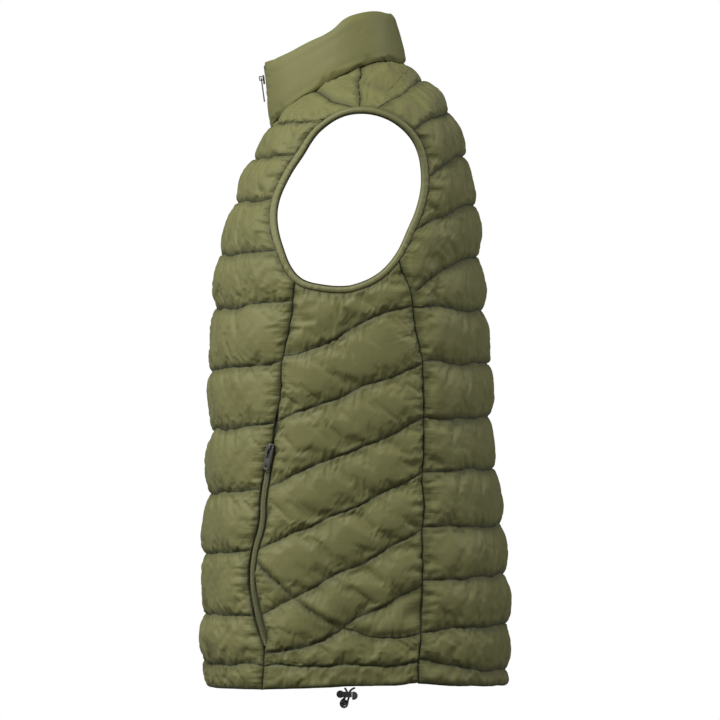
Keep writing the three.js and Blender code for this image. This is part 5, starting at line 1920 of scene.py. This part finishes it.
@dataclass
class HemDrawcord:
    """The elastic cord's loop out of the left hem, with its lock, button and knot."""

    sides: int = 14
    points: int = 150
    knot_scale: float = 1.1
    knot_lift: float = 1.2
    knot_sides: int = 10
    knot_stretch: float = 5.0

    def path(self) -> Array:
        """The centreline in millimetres."""
        flat = smooth_path(CORD_ROUTE, self.points)
        return stack(CORD_X, flat[:, 0], flat[:, 1])

    def cord(self, finish: Finish) -> Piece:
        """The cord as a tube with little twist, with the braid's place as its map."""
        path = self.path()
        tangent = unit(np.gradient(path, axis=0))
        across = np.empty_like(path)
        across[0] = unit(np.cross(tangent[0], (0.0, 0.0, 1.0)))
        for i in range(1, len(path)):
            across[i] = unit(across[i - 1] - tangent[i] * (across[i - 1] @ tangent[i]))
        points, faces = sweep(cord_rings(path, tangent, across, self.sides), False)
        run = run_lengths(path)
        round_it = np.arange(self.sides) * math.pi * CORD_DIAMETER / self.sides
        uv = np.concatenate([flat_map(round_it, run), [[0, 0], [0, run[-1]]]]) * MM
        return make_object("hem_cord", points, facing_out(faces, points), [finish], uv=uv)

    def knot(self, centre: Vector, finish: Finish) -> Piece:
        """An overhand knot: a tube along x = (2 + cos 3a) cos 2a, y = (2 + cos 3a) sin 2a,
        z = sin 3a, scaled down.

        Args:
            centre: middle of the knot, in millimetres.
            finish: the cord's material.

        Returns:
            The object.
        """
        a = np.linspace(0, 2 * math.pi, 161)[:-1]
        ring = (2 + np.cos(3 * a)) * self.knot_scale
        path = stack(
            1.2 * self.knot_scale * np.sin(3 * a), ring * np.cos(2 * a), ring * np.sin(2 * a),
        )
        path = path + np.array(centre) + (0, 0, self.knot_lift)
        tangent = unit(np.roll(path, -1, axis=0) - np.roll(path, 1, axis=0))
        across = unit(np.cross(tangent, (1.0, 0.0, 0.0)))
        points, faces = sweep(cord_rings(path, tangent, across, self.knot_sides), True)
        turn = np.arange(self.knot_sides) * 2 * math.pi / self.knot_sides
        uv = flat_map(turn * CORD_DIAMETER / 2, a * self.knot_stretch) * MM
        return make_object("hem_cord_knot", points, facing_out(faces, points), [finish], uv=uv)

    def build(self, frame: dict, wardrobe: Wardrobe) -> None:
        """Makes the cord and all that is on it."""
        cord = self.cord(wardrobe.cord)
        low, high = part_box("drawcord_knot")
        knot = self.knot((low + high) / 2 / MM, wardrobe.cord)
        settle(knot, Body.VEST, Slot.CORD, "drawcord_knot")
        lock = MouldedPart("cord_lock", "hem_cord_lock", 0.0006, Body.VEST, Slot.PLASTIC)
        button = MouldedPart("cord_lock_button", "hem_cord_button", 0.0008, Body.VEST, Slot.PLASTIC)
        on_it = [knot, lock.build(frame, wardrobe.plastic), button.build(frame, wardrobe.button)]
        path = self.path() * MM
        settle(cord, Body.VEST, Slot.CORD, "drawcord")


@dataclass
class Studio:
    """The camera, the lights and the pale ground."""

    distance: float = 30.0
    view_width: float = 0.8136
    eye_height: float = -0.12
    aim_height: float = -0.3051
    scale_plane: float = 0.1
    sensor: float = 36.0
    floor_height: float = -1.45
    floor_radius: float = 16.0
    floor_corners: int = 96
    ambient: float = 0.11
    # name, place in metres, side, watts
    lights: tuple = (
        ("key", (2.4, -1.4, 2.6), 1.4, 130),
        ("fill", (3.0, 1.0, -0.1), 2.0, 10),
        ("front edge", (0.4, -2.8, 0.9), 1.6, 40),
        ("back edge", (0.2, 2.8, 1.0), 1.6, 30),
    )

    def camera(self) -> None:
        """A long lens on the wearer's left, level with the armholes."""
        data = bpy.data.cameras.new("side view")
        data.sensor_width = self.sensor
        data.lens = self.sensor * (self.distance - self.scale_plane) / self.view_width
        camera = bpy.data.objects.new("side view", data)
        camera.location = (self.distance, 0, self.eye_height)
        tilt = math.atan2(self.eye_height - self.aim_height, self.distance)
        camera.rotation_euler = (math.pi / 2 - tilt, 0, math.pi / 2)
        bpy.context.scene.collection.objects.link(camera)
        bpy.context.scene.camera = camera

    def light(
        self, name: str, place: tuple[float, float, float], size: float, watts: float,
    ) -> None:
        """A soft square light of a side in metres and a power, which faces the vest."""
        data = bpy.data.lights.new(name, "AREA")
        data.size = size
        data.energy = watts
        lamp = bpy.data.objects.new(name, data)
        lamp.location = place
        aim = Vector((0, 0, self.aim_height)) - Vector(place)
        lamp.rotation_euler = aim.to_track_quat("-Z", "Y").to_euler()
        lamp.visible_camera = False
        bpy.context.scene.collection.objects.link(lamp)

    def surroundings(self) -> None:
        """White all round, and dimmer as a light than to the eye."""
        world = bpy.data.worlds.new("studio")
        world.use_nodes = True
        tree = world.node_tree
        ground = tree.nodes["Background"]
        ground.inputs["Color"].default_value = (1, 1, 1, 1)
        seen = tree.nodes.new("ShaderNodeLightPath")
        power = tree.nodes.new("ShaderNodeMapRange")
        power.inputs["To Min"].default_value = self.ambient
        power.inputs["To Max"].default_value = 1.0
        tree.links.new(seen.outputs["Is Camera Ray"], power.inputs["Value"])
        tree.links.new(power.outputs["Result"], ground.inputs["Strength"])
        bpy.context.scene.world = world

    def floor(self) -> None:
        """A wide pale disc at the height of the wearer's feet."""
        count = self.floor_corners
        turn = np.linspace(0, 2 * math.pi, count + 1)[:-1]
        rim = stack(np.cos(turn), np.sin(turn), 0) * self.floor_radius / MM
        points = np.concatenate([rim, [[0, 0, 0]]]) + (0, 0, self.floor_height / MM)
        first = np.arange(count)
        fan = np.stack([first, np.roll(first, -1), np.full(count, count)], axis=-1)
        disc = make_object("floor", points, [fan], [PaleGround().material()])
        disc.visible_diffuse = False
        disc.visible_glossy = False

    def build(self) -> None:
        """Sets the scene."""
        self.camera()
        for light in self.lights:
            self.light(*light)
        self.surroundings()
        self.floor()
        bpy.context.scene.view_settings.view_transform = "Standard"


@dataclass
class Vest:
    """The whole garment, built piece by piece."""

    frame: dict
    quilt_fill: float = 0.6
    collar_fill: float = 0.8
    hem_margin: float = 5.9
    thread_height: float = 1.55
    wardrobe: Wardrobe = field(default_factory=Wardrobe)
    torso: Torso = field(default_factory=Torso)
    neck: Neckline = field(default_factory=Neckline)

    def __post_init__(self) -> None:
        """Cuts the pattern."""
        self.pattern = Pattern(self.torso, self.neck)

    def padded(self, name: str, wall: PaddedWall) -> None:
        """Makes a padded piece from its wall, for the node of its name."""
        piece = wall.build(f"{name}_padded", self.wardrobe.shell, self.wardrobe.lining)
        settle(piece, Body.VEST, Slot.SHELL, name)

    def panel(self, panel: QuiltedPanel, mirrored: bool) -> None:
        """A quilted panel with its stitching, or one on each side where mirrored."""
        wall = panel.wall()
        lines = panel.stitching(wall)
        words = ((1, f"{panel.name}_left"), (-1, f"{panel.name}_right"))
        for flip, name in words if mirrored else ((1, panel.name),):
            self.padded(name, wall if flip > 0 else wall.mirrored())
            paths = [(points * (flip, 1, 1), out * (flip, 1, 1)) for points, out in lines]
            SewnTrim().build(f"{name}_stitching", paths, self.wardrobe.thread)

    def panels(self) -> None:
        """The quilted body: fronts, sides and back."""
        drag = Drag(self.torso, self.neck)
        shared = {"torso": self.torso, "pattern": self.pattern, "drag": drag}
        self.panel(FrontPanel("front", seed=11, **shared), True)
        self.panel(SidePanel("side", seed=23, **shared), True)
        self.panel(BackPanel("back", seed=37, spacing=4.2, **shared), False)

    def collar(self) -> None:
        """The stand collar."""
        filling = Filling(pressure=3.0, spare_cloth=0.02)
        collar = Collar("collar", self.torso, 41, filling=filling, neck=self.neck)
        self.padded("collar", collar.wall())

    def bindings(self) -> None:
        """Both armholes."""
        for node, side in (("binding_left", Side.LEFT), ("binding_right", Side.RIGHT)):
            ArmholeBinding(node, self.torso, side).build(self.wardrobe.trim)

    def front_zip(self) -> None:
        """The centre-front zip."""
        line = CentreFront(self.torso, self.neck)
        strip = ZipStrip(
            "front_zip", ZIP_HALF, coil_half=2.6, pitch=1.7,
            tape_out=(-1.1, -0.8, -0.7, -0.8, -1.1), line=line.frame, foot=-664, top=29,
            coil_span=(-663, 28.5),
        )
        tape = strip.tape(self.wardrobe.tape)
        run = whole_length(line.point(np.linspace(strip.foot, strip.top, ZIP_STATIONS)))
        settle(tape, Body.VEST, Slot.TAPE, "front_zip")
        settle(strip.coil(self.wardrobe.coil), Body.VEST, Slot.TAPE)
        for node, name, bevel, body in (
            ("front_zip_box", "zip_box", 0.0005, Body.VEST),
            ("front_slider", "zip_slider", 0.00035, Body.VEST),
            ("front_pull", "zip_pull", 0.0003, Body.FRONT_PULL),
        ):
            part = MouldedPart(node, name, bevel, body, Slot.METAL)
            part.build(self.frame, self.wardrobe.metal)

    def pocket_zips(self) -> None:
        """Both pocket zips with their sliders and pulls."""
        pulls = {Side.LEFT: Body.LEFT_PULL, Side.RIGHT: Body.RIGHT_PULL}
        foot, top = POCKET_FOOT + 1, TUCK_TOP - 2
        for side, word in ((Side.LEFT, "left"), (Side.RIGHT, "right")):
            line = PocketLine(self.torso, side)
            strip = ZipStrip(
                f"pocket_zip_{word}", half=6.2, coil_half=3.5, pitch=2.1,
                tape_out=(-3.4, -2.4, -0.8, -0.5, -0.8, -2.4, -3.4), line=line.frame,
                foot=foot, top=top, coil_span=(POCKET_FOOT + 9, POCKET_TOP - 13), coil_rise=0.8,
                narrowing=lambda z: self.pattern.seam_half_gap(z) / POCKET_ZIP_HALF,
            )
            tape = strip.tape(self.wardrobe.tape)
            settle(tape, Body.VEST, Slot.TAPE, f"pocket_zip_{word}")
            settle(strip.coil(self.wardrobe.coil), Body.VEST, Slot.TAPE)
            for node, name, body in (
                (f"pocket_slider_{word}", f"pocket_{word}_slider", Body.VEST),
                (f"pocket_pull_{word}", f"pocket_{word}_pull", pulls[side]),
            ):
                part = MouldedPart(node, name, 0.0003, body, Slot.METAL)
                part.build(self.frame, self.wardrobe.metal)

    def binding_sewing(self) -> None:
        """The thread round the armholes."""
        for flip, word in ((1, "left"), (-1, "right")):
            angle = np.linspace(178, -178, 400)
            point = self.torso.armhole(angle, self.hem_margin)
            out = unit(self.torso.normal(point[:, 1], point[:, 2]) * (1, 1, 0))
            point = point + self.thread_height * out
            path = (point * (flip, 1, 1), out * (flip, 1, 1))
            SewnTrim().build(f"binding_{word}_stitching", [path], self.wardrobe.thread)

    def build(self) -> None:
        """Builds all pieces, the cord first."""
        HemDrawcord().build(self.frame, self.wardrobe)
        self.panels()
        self.collar()
        self.bindings()
        self.front_zip()
        self.pocket_zips()
        self.binding_sewing()


def corners(bounds: tuple[Vector, Vector]) -> list[list[float]]:
    """A box as plain numbers."""
    return [[float(value) for value in corner] for corner in bounds]


def main() -> None:
    """Loads the frame and dresses it."""
    logging.basicConfig(level=logging.INFO, format="%(name)s: %(message)s")
    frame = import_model()
    Studio().build()
    Vest(frame).build()
    bpy.context.view_layer.update()


if __name__ == "__main__":
    main()
